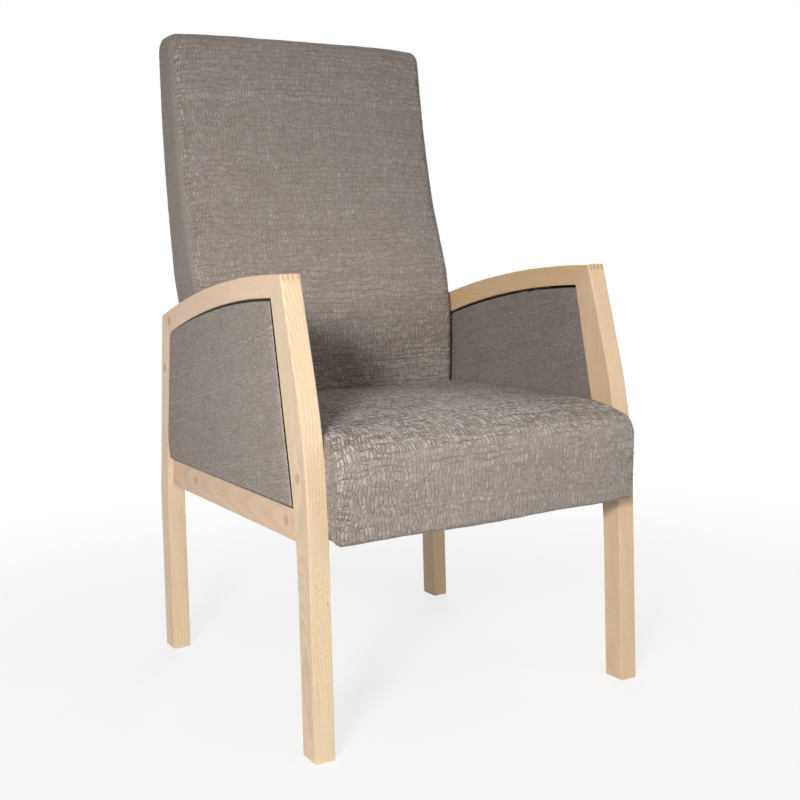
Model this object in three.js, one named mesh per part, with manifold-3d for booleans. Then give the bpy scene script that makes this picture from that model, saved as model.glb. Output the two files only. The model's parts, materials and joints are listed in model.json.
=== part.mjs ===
// Fireside chair: an upholstered seat and tall curved back, carried between two wooden side frames.
// Millimetres, +Z up. The front faces -Y, and left is the -X side, as seen from the front.
// Side outlines are drawn as (y, z): y runs back from the front foot's front face, z up from the floor.

import * as THREE from 'three';
import { mergeVertices } from 'three/addons/utils/BufferGeometryUtils.js';
import Module from 'manifold-3d';

const wasm = await Module();
wasm.setup();

// Clearance between fitted pieces, and how far a cut runs past the piece that it cuts
const joint = { gap: 0.3, overrun: 60 };

// Side frames: straight feet that sweep inwards above the rail to meet a shallow arched arm
const frame = {
  room: 512,
  thickness: 32,
  edgeRadius: 3,
  shortestEdge: 6,
  footDepth: 39,
  rearFoot: 571,
};
const frontLeg = {
  face: { start: 320, radius: 770, lean: 15 },
  back: { start: 220, radius: 1000, lean: 11 },
};
const rearLeg = {
  face: { start: 262, radius: 260, lean: 8.9 },
  back: { start: 262, radius: 250, lean: 7.6 },
};
const arm = { height: 668, depth: 34, crest: 70, topRadius: 1740, undersideRadius: 1580 };
const finger = { count: 4, thickness: 3.4, pitch: 7.6, length: 7.5 };
const rail = { bottom: 295, height: 50, recess: 9, edgeRadius: 2 };
const tenon = { length: 20, height: 30, thickness: 10 };

// Bolts that hold the seat and back between the side frames, each under a turned wooden plug
const bolt = { radius: 3, headRadius: 6, headDepth: 4, bite: 17 };
const plug = { radius: 6.5, length: 7 };
const boltPlace = { legDrop: 19, railInset: 46, backDrop: 62.6, backInset: 17, armInset: 38 };

// Upholstery cloth, and the padded panels in the side frames, drawn in at the lower rear corner
const cloth = { thickness: 1.6 };
const panel = {
  edgeHalf: 7,
  outerPuff: 14,
  innerPuff: 6.5,
  topGap: 4,
  board: 6,
  padEdge: 2,
};
const drawnShares = { height: 0.21, depth: 0.28 };

// Rings of a panel's puff: inset as a share of the panel's rear height, rise as a share of its puff
const puffShares = [
  { inset: 0, rise: 0 },
  { inset: 0.009, rise: 0.4 },
  { inset: 0.027, rise: 0.68 },
  { inset: 0.068, rise: 0.86 },
  { inset: 0.155, rise: 0.95 },
  { inset: 0.3, rise: 0.99 },
  { inset: 0.436, rise: 1 },
];

// Seat cushion, and the webbed box frame inside it
const seat = {
  sideGap: 2,
  front: -42,
  rear: 472.5,
  bottom: 304,
  top: 450,
  noseDrop: 24,
  noseLength: 112,
  nosePower: 2.2,
  noseRadius: 33,
  tuck: 8,
  lowerRadius: 8,
  rearRadius: 14,
  sideRadius: 14,
  crown: 11,
  frontCrown: 4,
};
const seatTopShares = [0.85, 0.68, 0.52, 0.38, 0.26, 0.2, 0.14, 0.085];
const seatFrame = { inset: 10, lift: 5, height: 100, board: 22, block: 55, blockHeight: 60 };
const seatStrap = { count: 4, width: 70, thickness: 2 };
const dustCloth = { thickness: 1.1, lip: 12 };

// Back cushion, and the webbed frame inside it
const back = {
  sideGap: 5,
  seatGap: 0.5,
  bottom: 306,
  top: 1092,
  sweep: 168,
  topDrop: 5,
  headRoom: 29,
  headRadius: 20,
  footRadius: 10,
  sideRadius: 15,
  crown: 9,
  board: 5,
  lip: 16,
};
const upright = { width: 25, footDepth: 60, headDepth: 40, inset: 8, headInset: 20, footInset: 7 };
const backRail = { headHeight: 44, footHeight: 70, footLift: 24 };
const backStrap = { height: 64, thickness: 2 };
const backStrapShares = [0.14, 0.42, 0.7];

// The back's two faces seen from the side, as shares of its sweep and of its height from seat to head
const backFaceShares = [
  [0, 0],
  [-0.04, 0.2],
  [0.06, 0.335],
  [0.315, 0.555],
  [0.475, 0.785],
  [0.565, 1],
];
const backRearShares = [
  [0.59, 0],
  [0.685, 0.283],
  [0.79, 0.45],
  [0.887, 0.607],
  [0.958, 0.775],
  [0.985, 0.92],
];
const backFootShare = 0.55;

// Mesh steps
const steps = {
  bend: 5,
  arm: 12,
  round: 4,
  turn: 3,
  edge: 4,
  drawn: 3,
  face: 13,
  rear: 8,
  hole: 14,
  settle: 40,
};
const ringShares = [0.7, 0.35];
const tightestShare = 0.1;

const half = { inner: frame.room / 2, outer: frame.room / 2 + frame.thickness };
const sides = [['left', -1], ['right', 1]];
const railTop = rail.bottom + rail.height;
const reach = frame.rearFoot + arm.height;

const paint = (color, roughness, metalness = 0) => ({ color, roughness, metalness });
const finish = {
  wood: paint(0xe4c99c, 0.45),
  plugWood: paint(0xcfae7e, 0.5),
  cloth: paint(0x8d8378, 0.9),
  foam: paint(0xe9dfb4, 0.95),
  board: paint(0xb99a6b, 0.8),
  carcass: paint(0xc8a877, 0.7),
  webbing: paint(0x3c3f45, 0.85),
  steel: paint(0x9a9ca0, 0.35, 1),
  dustCloth: paint(0x26262a, 0.95),
};

// Small helpers

const range = (count) => Array.from({ length: count }, (_, i) => i);
const between = (from, to, share) => from + (to - from) * share;
const joined = (bodies) => bodies.reduce((sum, body) => sum.add(body));
const boxOutline = (yA, yB, zA, zB) => [[yA, zA], [yB, zA], [yB, zB], [yA, zB]];

function welded(geometry) {
  const bare = new THREE.BufferGeometry();
  bare.setAttribute('position', geometry.getAttribute('position'));
  bare.setIndex(geometry.getIndex());
  const merged = mergeVertices(bare);
  const corners = Array.from(merged.getIndex().array);
  const kept = [];
  for (const i of range(corners.length / 3)) {
    const [a, b, c] = corners.slice(3 * i, 3 * i + 3);
    if (a !== b && b !== c && c !== a) kept.push(a, b, c);
  }
  merged.setIndex(kept);
  return merged;
}

function solid(geometry) {
  const mesh = welded(geometry);
  const vertProperties = Float32Array.from(mesh.getAttribute('position').array);
  const triVerts = Uint32Array.from(mesh.getIndex().array);
  return new wasm.Manifold(new wasm.Mesh({ numProp: 3, vertProperties, triVerts }));
}

function geometryOf(body) {
  const mesh = body.getMesh();
  const geometry = new THREE.BufferGeometry();
  geometry.setAttribute('position', new THREE.BufferAttribute(mesh.vertProperties, 3));
  geometry.setIndex(new THREE.BufferAttribute(mesh.triVerts, 1));
  geometry.computeVertexNormals();
  return geometry;
}

// An outline of (y, z) points extruded from one x to another, with its long edges rounded if asked
function slab(outline, xA, xB, edgeRadius = 0) {
  const shape = new THREE.Shape(outline.map(([y, z]) => new THREE.Vector2(y, z)));
  const geometry = new THREE.ExtrudeGeometry(shape, {
    depth: Math.abs(xB - xA) - 2 * edgeRadius,
    bevelEnabled: edgeRadius > 0,
    bevelSize: edgeRadius,
    bevelOffset: -edgeRadius,
    bevelThickness: edgeRadius,
    bevelSegments: 2,
  });
  geometry.translate(0, 0, Math.min(xA, xB) + edgeRadius);
  const axes = [[0, 1, 0], [0, 0, 1], [1, 0, 0]].map((way) => new THREE.Vector3(...way));
  geometry.applyMatrix4(new THREE.Matrix4().makeBasis(...axes));
  return solid(geometry);
}

// A turned piece lying along X: its profile is (depth inwards from an outside face, radius)
function turned(side, face, y, z, profile) {
  const points = profile.map(([depth, radius]) => new THREE.Vector2(radius, -depth)).reverse();
  const geometry = new THREE.LatheGeometry(points, steps.hole);
  geometry.rotateZ((-side * Math.PI) / 2);
  geometry.translate(side * face, y, z);
  return solid(geometry);
}

// Rings of equal point count, skinned in +X order and closed at both ends
function loft(rings) {
  const size = rings[0].loop.length;
  const positions = rings.flatMap(({ x, loop }) => loop.flatMap((point) => [x, point.x, point.y]));
  const faces = [];
  for (const ring of range(rings.length - 1)) {
    for (const i of range(size)) {
      const [a, b] = [ring * size + i, ring * size + ((i + 1) % size)];
      faces.push(a, b, b + size, a, b + size, a + size);
    }
  }
  const last = (rings.length - 1) * size;
  for (const [a, b, c] of THREE.ShapeUtils.triangulateShape(rings[0].loop, [])) faces.push(c, b, a);
  for (const [a, b, c] of THREE.ShapeUtils.triangulateShape(rings.at(-1).loop, [])) {
    faces.push(last + a, last + b, last + c);
  }
  const geometry = new THREE.BufferGeometry();
  geometry.setAttribute('position', new THREE.Float32BufferAttribute(positions, 3));
  geometry.setIndex(faces);
  return solid(geometry);
}

// A loop that runs anticlockwise, moved inwards by one distance
function insetLoop(loop, distance) {
  return loop.map((here, i) => {
    const [before, after] = [loop.at(i - 1), loop[(i + 1) % loop.length]];
    const [first, second] = [[before, here], [here, after]].map(([from, to]) => {
      const way = to.clone().sub(from).normalize();
      return new THREE.Vector2(-way.y, way.x);
    });
    const middle = first.clone().add(second).normalize();
    return here.clone().addScaledVector(middle, distance / middle.dot(first));
  });
}

// Corners as (y, z, radius), moved inwards by one distance and rounded by arcs that tighten with it
function roundedLoop(corners, inset) {
  const points = insetLoop(corners.map(([y, z]) => new THREE.Vector2(y, z)), inset);
  return points.flatMap((here, i) => {
    if (!corners[i][2]) return [here];
    const radius = Math.max(corners[i][2] - inset, corners[i][2] * tightestShare);
    const toBefore = points.at(i - 1).clone().sub(here).normalize();
    const toAfter = points[(i + 1) % points.length].clone().sub(here).normalize();
    const halfAngle = Math.acos(toBefore.dot(toAfter)) / 2;
    const bisector = toBefore.clone().add(toAfter).normalize();
    const centre = here.clone().addScaledVector(bisector, radius / Math.sin(halfAngle));
    const start = here.clone().addScaledVector(toBefore, radius / Math.tan(halfAngle));
    const turn = Math.PI - 2 * halfAngle;
    return range(steps.round + 1).map((k) => start.clone().rotateAround(centre, (turn * k) / steps.round));
  });
}

// Edges of the side frame: y at a height, or z at a depth

function sweepAt(bend, height) {
  const lean = THREE.MathUtils.degToRad(bend.lean);
  const rise = Math.max(height - bend.start, 0);
  const arcRise = bend.radius * Math.sin(lean);
  if (rise <= arcRise) return bend.radius - Math.sqrt(bend.radius ** 2 - rise ** 2);
  return bend.radius * (1 - Math.cos(lean)) + (rise - arcRise) * Math.tan(lean);
}

function fallAt(radius, y) {
  return radius - Math.sqrt(radius ** 2 - (y - arm.crest) ** 2);
}

const frontFace = (z) => sweepAt(frontLeg.face, z);
const frontBack = (z) => frame.footDepth + sweepAt(frontLeg.back, z);
const rearFace = (z) => frame.rearFoot - sweepAt(rearLeg.face, z);
const rearBack = (z) => frame.rearFoot + frame.footDepth - sweepAt(rearLeg.back, z);
const armTop = (y) => arm.height - fallAt(arm.topRadius, y);
const armUnder = (y) => arm.height - arm.depth - fallAt(arm.undersideRadius, y);

// The corner where a leg's edge meets one of the arm's arcs
function meet(edge, arc) {
  let z = arm.height;
  for (const _ of range(steps.settle)) z = arc(edge(z));
  return [edge(z), z];
}

const corner = {
  frontOuter: meet(frontFace, armTop),
  frontInner: meet(frontBack, armUnder),
  rearOuter: meet(rearBack, armTop),
  rearInner: meet(rearFace, armUnder),
};

function climb(edge, bend, from, to) {
  const arcTop = bend.start + bend.radius * Math.sin(THREE.MathUtils.degToRad(bend.lean));
  const bends = range(steps.bend + 1).map((i) => between(bend.start, arcTop, i / steps.bend));
  const kept = bends.filter((z) => z > from + frame.shortestEdge && z < to - frame.shortestEdge);
  return [from, ...kept, to].map((z) => [edge(z), z]);
}

function along(arc, from, to, count) {
  return range(count - 1).map((i) => {
    const y = between(from, to, (i + 1) / count);
    return [y, arc(y)];
  });
}

function hoopOutline() {
  return [
    ...climb(frontFace, frontLeg.face, 0, corner.frontOuter[1]).reverse(),
    ...climb(frontBack, frontLeg.back, 0, corner.frontInner[1]),
    ...along(armUnder, corner.frontInner[0], corner.rearInner[0], steps.arm),
    ...climb(rearFace, rearLeg.face, 0, corner.rearInner[1]).reverse(),
    ...climb(rearBack, rearLeg.back, 0, corner.rearOuter[1]),
    ...along(armTop, corner.rearOuter[0], corner.frontOuter[0], steps.arm),
  ];
}

// Mitred finger joints, seen from the front and the back of the frame as a comb of end grain

function mitreAt([outerY, outerZ], [innerY, innerZ]) {
  const outer = new THREE.Vector2(outerY, outerZ);
  const inner = new THREE.Vector2(innerY, innerZ);
  const way = outer.clone().sub(inner).normalize();
  const across = new THREE.Vector2(-way.y, way.x);
  return { outer, inner, way, towardsLeg: across.y < 0 ? across : across.negate() };
}

// The stretch between two distances from the mitre, counted towards the leg
function mitreStretch(mitre, from, to, xA, xB) {
  const ends = [mitre.inner.clone(), mitre.outer.clone()];
  ends[0].addScaledVector(mitre.way, -reach);
  ends[1].addScaledVector(mitre.way, reach);
  const near = ends.map((end) => end.clone().addScaledVector(mitre.towardsLeg, from));
  const far = ends.map((end) => end.clone().addScaledVector(mitre.towardsLeg, to)).reverse();
  return slab([...near, ...far].map((point) => [point.x, point.y]), xA, xB);
}

// What the arm takes of the frame at a mitre: its own side, and its fingers in the leg
function armSide(side, mitre, clearance) {
  const middle = half.inner + frame.thickness / 2;
  const wide = [side * (half.inner - joint.overrun), side * (half.outer + joint.overrun)];
  const fingers = range(finger.count).map((i) => {
    const centre = middle + (i - (finger.count - 1) / 2) * finger.pitch;
    const halfWidth = finger.thickness / 2 + clearance;
    const [xA, xB] = [side * (centre - halfWidth), side * (centre + halfWidth)];
    return mitreStretch(mitre, -joint.gap, finger.length + clearance, xA, xB);
  });
  return joined([mitreStretch(mitre, -reach, clearance, ...wide), ...fingers]);
}

// Side rails, tenoned into both legs

function railOutline() {
  const front = climb(frontBack, frontLeg.back, rail.bottom, railTop).map(([y, z]) => [y + joint.gap, z]);
  const rear = climb(rearFace, rearLeg.face, rail.bottom, railTop).map(([y, z]) => [y - joint.gap, z]);
  return [...rear, ...front.reverse()];
}

function tenons(side, clearance) {
  const z = rail.bottom + rail.height / 2;
  const x = (half.inner + half.outer - rail.recess) / 2;
  const [halfHeight, halfThick] = [tenon.height / 2 + clearance, tenon.thickness / 2 + clearance];
  const [yA, yB] = [frontBack(z) - tenon.length - clearance, rearFace(z) + tenon.length + clearance];
  const outline = boxOutline(yA, yB, z - halfHeight, z + halfHeight);
  return slab(outline, side * (x - halfThick), side * (x + halfThick));
}

function sideRail(side) {
  const [xA, xB] = [side * half.inner, side * (half.outer - rail.recess)];
  return slab(railOutline(), xA, xB, rail.edgeRadius).add(tenons(side, 0));
}

// Padded side panels: thin at the edges, puffed in the middle, a little deeper on the outside

function evenly(edge, from, to, count) {
  return range(count).map((i) => {
    const z = between(from, to, i / count);
    return [edge(z), z];
  });
}

function panelLoop(inset) {
  const margin = joint.gap + inset;
  const bottom = railTop + margin;
  const top = (y) => armUnder(y) - panel.topGap - inset;
  const front = (z) => frontBack(z) + margin;
  const straight = (z) => rearFace(z) - margin;
  const [frontTop, rearTop] = [meet(front, top), meet(straight, top)];
  const drawnHeight = (rearTop[1] - bottom) * drawnShares.height;
  const drawnTo = bottom + drawnHeight;
  const drawn = (z) => {
    const share = (drawnTo - z) / drawnHeight;
    return straight(z) - drawnHeight * drawnShares.depth * share ** 2;
  };
  return [
    ...evenly(drawn, bottom, drawnTo, steps.drawn),
    ...evenly(straight, drawnTo, rearTop[1], steps.edge),
    rearTop,
    ...along(top, rearTop[0], frontTop[0], steps.rear),
    frontTop,
    ...evenly(front, bottom, frontTop[1], steps.edge).reverse(),
  ].map(([y, z]) => new THREE.Vector2(y, z));
}

function panelSolid(side, inset) {
  const middle = half.inner + frame.thickness / 2;
  const height = corner.rearInner[1] - panel.topGap - railTop;
  const outer = puffShares.map(({ rise }) => middle + panel.edgeHalf + panel.outerPuff * rise - inset);
  const inner = puffShares.map(({ rise }) => middle - panel.edgeHalf - panel.innerPuff * rise + inset);
  const rings = [...outer, ...inner].map((x, i) => {
    const ringInset = height * puffShares[i % puffShares.length].inset;
    return { x: side * x, loop: panelLoop(ringInset + inset) };
  });
  return loft(rings.sort((a, b) => a.x - b.x));
}

function panelBoard(side, clearance) {
  const middle = half.inner + frame.thickness / 2;
  const halfThick = panel.board / 2 + clearance;
  const loop = panelLoop(cloth.thickness + panel.padEdge + 2 * joint.gap - clearance);
  const outline = loop.map((point) => [point.x, point.y]);
  return slab(outline, side * (middle - halfThick), side * (middle + halfThick));
}

// The closing slit along the lower edge of a panel's cover and wadding
function panelSlit(side) {
  const middle = half.inner + frame.thickness / 2;
  const halfThick = panel.board / 2 + joint.gap;
  const [from, to] = [frontBack(railTop) + 2 * panel.board, rearFace(railTop) - 2 * panel.board];
  const outline = boxOutline(from, to, rail.bottom, railTop + 2 * panel.board);
  return slab(outline, side * (middle - halfThick), side * (middle + halfThick));
}

// Cushions: a side outline swept across the chair, crowned in the middle and turned in at both sides

function cushion({ cornersAt, halfWidth, sideRadius, crownPower }, inset) {
  const turn = sideRadius - inset;
  const flat = halfWidth - sideRadius;
  const ends = range(steps.turn + 1).map((i) => {
    const angle = (Math.PI / 2) * (1 - i / steps.turn);
    return { x: flat + turn * Math.sin(angle), inset: inset + turn * (1 - Math.cos(angle)) };
  });
  const outerHalf = [...ends, ...ringShares.map((share) => ({ x: flat * share, inset }))];
  const mirrored = outerHalf.map((ring) => ({ x: -ring.x, inset: ring.inset }));
  const stations = [...mirrored, { x: 0, inset }, ...outerHalf.reverse()];
  return loft(stations.map((station) => {
    const crownShare = 1 - Math.abs(station.x / halfWidth) ** crownPower;
    return { x: station.x, loop: roundedLoop(cornersAt(crownShare), station.inset) };
  }));
}

function seatCorners(crownShare) {
  const depth = seat.rear - seat.front;
  const front = seat.front - seat.frontCrown * crownShare;
  const topAt = (y) => {
    const noseShare = Math.min((y - seat.front) / seat.noseLength, 1);
    const depthShare = (y - seat.front) / depth;
    const crown = seat.crown * crownShare * 4 * depthShare * (1 - depthShare);
    return seat.top - seat.noseDrop * (1 - noseShare) ** seat.nosePower + crown;
  };
  const topPoints = seatTopShares.map((share) => {
    const y = seat.front + depth * share;
    return [y, topAt(y), 0];
  });
  return [
    [front + seat.tuck, seat.bottom, seat.lowerRadius],
    [seat.rear, seat.bottom, seat.lowerRadius],
    [seat.rear, seat.top, seat.rearRadius],
    ...topPoints,
    [front, topAt(seat.front), seat.noseRadius],
  ];
}

const seatForm = {
  cornersAt: seatCorners,
  halfWidth: half.inner - seat.sideGap,
  sideRadius: seat.sideRadius,
  crownPower: 2,
};

const backFoot = seat.rear + back.seatGap;
const backRise = back.top - back.headRoom - seat.top;
const backPlace = ([sweepShare, riseShare]) => {
  return new THREE.Vector2(backFoot + back.sweep * sweepShare, seat.top + backRise * riseShare);
};
const backFace = new THREE.SplineCurve(backFaceShares.map(backPlace)).getSpacedPoints(steps.face);
const backRear = new THREE.SplineCurve(backRearShares.map(backPlace)).getSpacedPoints(steps.rear);
const backRearFoot = new THREE.Vector2(backFoot + back.sweep * backFootShare, back.bottom);
const backHead = new THREE.Vector2(backFoot + back.sweep, back.top);

function backCorners(crownShare) {
  const face = backFace.map((point) => {
    const riseShare = (point.y - seat.top) / backRise;
    const crown = back.crown * crownShare * 4 * riseShare * (1 - riseShare);
    return [point.x - crown, point.y, 0];
  });
  const faceTop = backFace.at(-1).x + (backFace.at(-1).x - backFace.at(-2).x) / 2;
  const headHeight = back.top - back.topDrop * (1 - crownShare);
  return [
    [backFoot, back.bottom, back.footRadius],
    [backRearFoot.x, backRearFoot.y, back.footRadius],
    ...backRear.map((point) => [point.x, point.y, 0]),
    [backHead.x, headHeight, back.headRadius],
    [faceTop, headHeight, back.headRadius],
    ...face.reverse(),
  ];
}

const backForm = {
  cornersAt: backCorners,
  halfWidth: half.inner - back.sideGap,
  sideRadius: back.sideRadius,
  crownPower: 4,
};

// Depth of the back's rear face at a height
const rearLine = [backRearFoot, ...backRear, backHead];
function backRearAt(z) {
  const upper = rearLine.findIndex((point) => point.y >= z);
  if (upper < 1) return z > backHead.y ? backHead.x : backRearFoot.x;
  const [low, high] = [rearLine[upper - 1], rearLine[upper]];
  return between(low.x, high.x, (z - low.y) / (high.y - low.y));
}

// A strip between two depths, with the same facets as the back's rear face
function strip(front, rear, from, to) {
  const bends = rearLine.map((point) => point.y).filter((z) => z > from && z < to);
  const heights = [from, ...bends, to];
  return [...heights.map((z) => [rear(z), z]), ...heights.map((z) => [front(z), z]).reverse()];
}

// Box frame of the seat

const seatBox = {
  halfWidth: seatForm.halfWidth - seatFrame.inset,
  front: seat.front + seat.tuck + seatFrame.inset,
  rear: seat.rear - seatFrame.inset,
  bottom: seat.bottom + seatFrame.lift,
  top: seat.bottom + seatFrame.lift + seatFrame.height,
};
const seatInside = {
  halfWidth: seatBox.halfWidth - seatFrame.board,
  front: seatBox.front + seatFrame.board,
  rear: seatBox.rear - seatFrame.board,
};

function seatCrossRail(from, to) {
  const outline = boxOutline(from, to, seatBox.bottom, seatBox.top);
  return slab(outline, joint.gap - seatInside.halfWidth, seatInside.halfWidth - joint.gap);
}

function seatSideRail(side) {
  const outline = boxOutline(seatBox.front, seatBox.rear, seatBox.bottom, seatBox.top);
  return slab(outline, side * seatInside.halfWidth, side * seatBox.halfWidth);
}

// A three-cornered block glued into one corner of the box frame
function cornerBlock(side, end) {
  const x = side * (seatInside.halfWidth - joint.gap);
  const y = end === 'front' ? seatInside.front + joint.gap : seatInside.rear - joint.gap;
  const inwards = end === 'front' ? seatFrame.block : -seatFrame.block;
  const shape = new THREE.Shape([[x, y], [x - side * seatFrame.block, y], [x, y + inwards]].map(
    (point) => new THREE.Vector2(...point),
  ));
  const geometry = new THREE.ExtrudeGeometry(shape, { depth: seatFrame.blockHeight, bevelEnabled: false });
  geometry.translate(0, 0, seatBox.bottom);
  return solid(geometry);
}

function seatWebbing(index) {
  const pitch = (2 * seatInside.halfWidth) / seatStrap.count;
  const x = (index - (seatStrap.count - 1) / 2) * pitch;
  const z = seatBox.top + joint.gap;
  const outline = boxOutline(seatBox.front, seatBox.rear, z, z + seatStrap.thickness);
  return slab(outline, x - seatStrap.width / 2, x + seatStrap.width / 2);
}

function seatFoam() {
  const top = seatBox.top + seatStrap.thickness + 2 * joint.gap;
  const [front, rear] = [seatBox.front - joint.gap, seatBox.rear + joint.gap];
  const hollow = boxOutline(front, rear, seat.bottom - joint.overrun, top);
  const halfWidth = seatBox.halfWidth + joint.gap;
  return cushion(seatForm, cloth.thickness + joint.gap).subtract(slab(hollow, -halfWidth, halfWidth));
}

// The seat's cover, open underneath inside a turned-in lip
function seatCover() {
  const [from, to] = [seatBox.front + dustCloth.lip, seatBox.rear - dustCloth.lip];
  const halfWidth = seatBox.halfWidth - dustCloth.lip;
  const opening = boxOutline(from, to, seat.bottom - joint.overrun, seatBox.bottom);
  const hollow = cushion(seatForm, cloth.thickness).add(slab(opening, -halfWidth, halfWidth));
  return cushion(seatForm, 0).subtract(hollow);
}

function dustCover() {
  const top = seatBox.bottom - joint.gap;
  const outline = boxOutline(seatBox.front, seatBox.rear, top - dustCloth.thickness, top);
  return slab(outline, -seatBox.halfWidth, seatBox.halfWidth);
}

// Frame of the back

const backBox = {
  halfWidth: backForm.halfWidth - upright.inset,
  bottom: back.bottom + upright.footInset,
  top: back.top - upright.headInset,
};
const backInside = backBox.halfWidth - upright.width - joint.gap;
const uprightRear = (z) => backRearAt(z) - back.board - joint.gap;
const uprightFront = (z) => {
  const share = (z - backBox.bottom) / (backBox.top - backBox.bottom);
  return uprightRear(z) - between(upright.footDepth, upright.headDepth, share);
};

function backUpright(side) {
  const outline = strip(uprightFront, uprightRear, backBox.bottom, backBox.top);
  return slab(outline, side * (backBox.halfWidth - upright.width), side * backBox.halfWidth);
}

function backCrossRail(from, height) {
  const outline = strip(uprightFront, uprightRear, from, from + height);
  return slab(outline, -backInside, backInside);
}

function backWebbing(share) {
  const centre = between(seat.top, backBox.top, share);
  const rear = (z) => uprightFront(z) - joint.gap;
  const front = (z) => rear(z) - backStrap.thickness;
  const outline = strip(front, rear, centre - backStrap.height / 2, centre + backStrap.height / 2);
  return slab(outline, -backBox.halfWidth, backBox.halfWidth);
}

function backFoam() {
  const front = (z) => uprightFront(z) - backStrap.thickness - 2 * joint.gap;
  const rear = () => backHead.x + joint.overrun;
  const hollow = strip(front, rear, backBox.bottom, backBox.top + joint.gap);
  const halfWidth = backBox.halfWidth + joint.gap;
  const lowest = [back.bottom - joint.overrun, backBox.bottom + joint.gap];
  const below = boxOutline(front(backBox.bottom), rear(), ...lowest);
  const frameRoom = slab(hollow, -halfWidth, halfWidth).add(slab(below, -halfWidth, halfWidth));
  return cushion(backForm, cloth.thickness + joint.gap).subtract(frameRoom);
}

// The outside back closes an opening in the rear of the back's cover
const outsideBack = {
  halfWidth: backForm.halfWidth - back.sideRadius - back.lip / 2,
  bottom: back.bottom + back.lip,
  top: back.top - back.headRadius - back.lip / 2,
};

function outsideBackBoard() {
  const front = (z) => backRearAt(z) - back.board;
  const outline = strip(front, backRearAt, outsideBack.bottom, outsideBack.top);
  return slab(outline, -outsideBack.halfWidth, outsideBack.halfWidth);
}

function outsideBackOpening() {
  const front = (z) => backRearAt(z) - back.board - joint.gap;
  const rear = () => backHead.x + joint.overrun;
  const outline = strip(front, rear, outsideBack.bottom - joint.gap, outsideBack.top + joint.gap);
  return slab(outline, -outsideBack.halfWidth - joint.gap, outsideBack.halfWidth + joint.gap);
}

function backCover() {
  const hollow = cushion(backForm, cloth.thickness).add(outsideBackOpening());
  return cushion(backForm, 0).subtract(hollow);
}

// Bolts, plugs and the holes that they need

const railFace = half.outer - rail.recess;
const legBoltHeight = seatBox.top - boltPlace.legDrop;
const railBoltHeight = rail.bottom + rail.height / 2;
const backBoltHeight = corner.rearInner[1] - boltPlace.backDrop;
const armBoltDepth = corner.rearOuter[0] - boltPlace.armInset;
const bolts = [
  {
    name: 'front_leg',
    face: half.outer,
    y: (frontFace(legBoltHeight) + frontBack(legBoltHeight)) / 2,
    z: legBoltHeight,
    holds: seatBox.halfWidth,
  },
  {
    name: 'rail_front',
    face: railFace,
    y: frontBack(railBoltHeight) + boltPlace.railInset,
    z: railBoltHeight,
    holds: seatBox.halfWidth,
  },
  {
    name: 'rail_rear',
    face: railFace,
    y: seatBox.rear - seatFrame.board / 2,
    z: railBoltHeight,
    holds: seatBox.halfWidth,
  },
  {
    name: 'rear_leg',
    face: half.outer,
    y: rearBack(backBoltHeight) - boltPlace.backInset,
    z: backBoltHeight,
    holds: backBox.halfWidth,
  },
  {
    name: 'arm',
    face: half.outer,
    y: armBoltDepth,
    z: (armTop(armBoltDepth) + armUnder(armBoltDepth)) / 2,
    holds: backBox.halfWidth,
  },
];

function boltSolid(side, { face, y, z, holds }, clearance) {
  const head = plug.length + joint.gap - clearance;
  const neck = plug.length + joint.gap + bolt.headDepth + clearance;
  const tip = face - holds + bolt.bite + clearance;
  const [headRadius, radius] = [bolt.headRadius + clearance, bolt.radius + clearance];
  const headProfile = [[head, 0], [head, headRadius], [neck, headRadius]];
  const shankProfile = [[neck, radius], [tip, radius], [tip, 0]];
  return turned(side, face, y, z, [...headProfile, ...shankProfile]);
}

function plugSolid(side, { face, y, z }) {
  return turned(side, face, y, z, [[0, 0], [0, plug.radius], [plug.length, plug.radius], [plug.length, 0]]);
}

function boltHole(side, place) {
  const radius = plug.radius + joint.gap;
  const depth = plug.length + joint.gap;
  const mouth = [[-joint.overrun, 0], [-joint.overrun, radius], [depth, radius], [depth, 0]];
  return boltSolid(side, place, joint.gap).add(turned(side, place.face, place.y, place.z, mouth));
}

const holes = Object.fromEntries(
  sides.map(([name, side]) => [name, joined(bolts.map((place) => boltHole(side, place)))]),
);
const allHoles = joined(Object.values(holes));

// The chair

const chair = new THREE.Group();

function piece(name, body, look) {
  const mesh = new THREE.Mesh(geometryOf(body), new THREE.MeshStandardMaterial(look));
  mesh.name = name;
  chair.add(mesh);
}

function addSideFrame(name, side) {
  const hoop = slab(hoopOutline(), side * half.inner, side * half.outer, frame.edgeRadius);
  const front = mitreAt(corner.frontOuter, corner.frontInner);
  const rear = mitreAt(corner.rearOuter, corner.rearInner);
  const middle = (corner.frontInner[0] + corner.rearInner[0]) / 2;
  const wide = [side * (half.inner - joint.overrun), side * (half.outer + joint.overrun)];
  const frontHalf = slab(boxOutline(-reach, middle, -reach, reach), ...wide);
  const cuts = tenons(side, joint.gap).add(holes[name]);
  const frontLegBody = hoop.intersect(frontHalf).subtract(armSide(side, front, joint.gap));
  const rearLegBody = hoop.subtract(frontHalf).subtract(armSide(side, rear, joint.gap));
  const armBody = hoop.intersect(armSide(side, front, 0)).intersect(armSide(side, rear, 0));
  piece(`front_leg_${name}`, frontLegBody.subtract(cuts), finish.wood);
  piece(`rear_leg_${name}`, rearLegBody.subtract(cuts), finish.wood);
  piece(`arm_${name}`, armBody.subtract(holes[name]), finish.wood);
  piece(`side_rail_${name}`, sideRail(side).subtract(holes[name]), finish.wood);
}

function addSidePanel(name, side) {
  const slit = panelSlit(side);
  const wadding = panelSolid(side, cloth.thickness + joint.gap);
  const cover = panelSolid(side, 0).subtract(panelSolid(side, cloth.thickness));
  piece(`panel_board_${name}`, panelBoard(side, 0), finish.board);
  piece(`panel_padding_${name}`, wadding.subtract(panelBoard(side, joint.gap)).subtract(slit), finish.foam);
  piece(`panel_cover_${name}`, cover.subtract(slit), finish.cloth);
}

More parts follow.
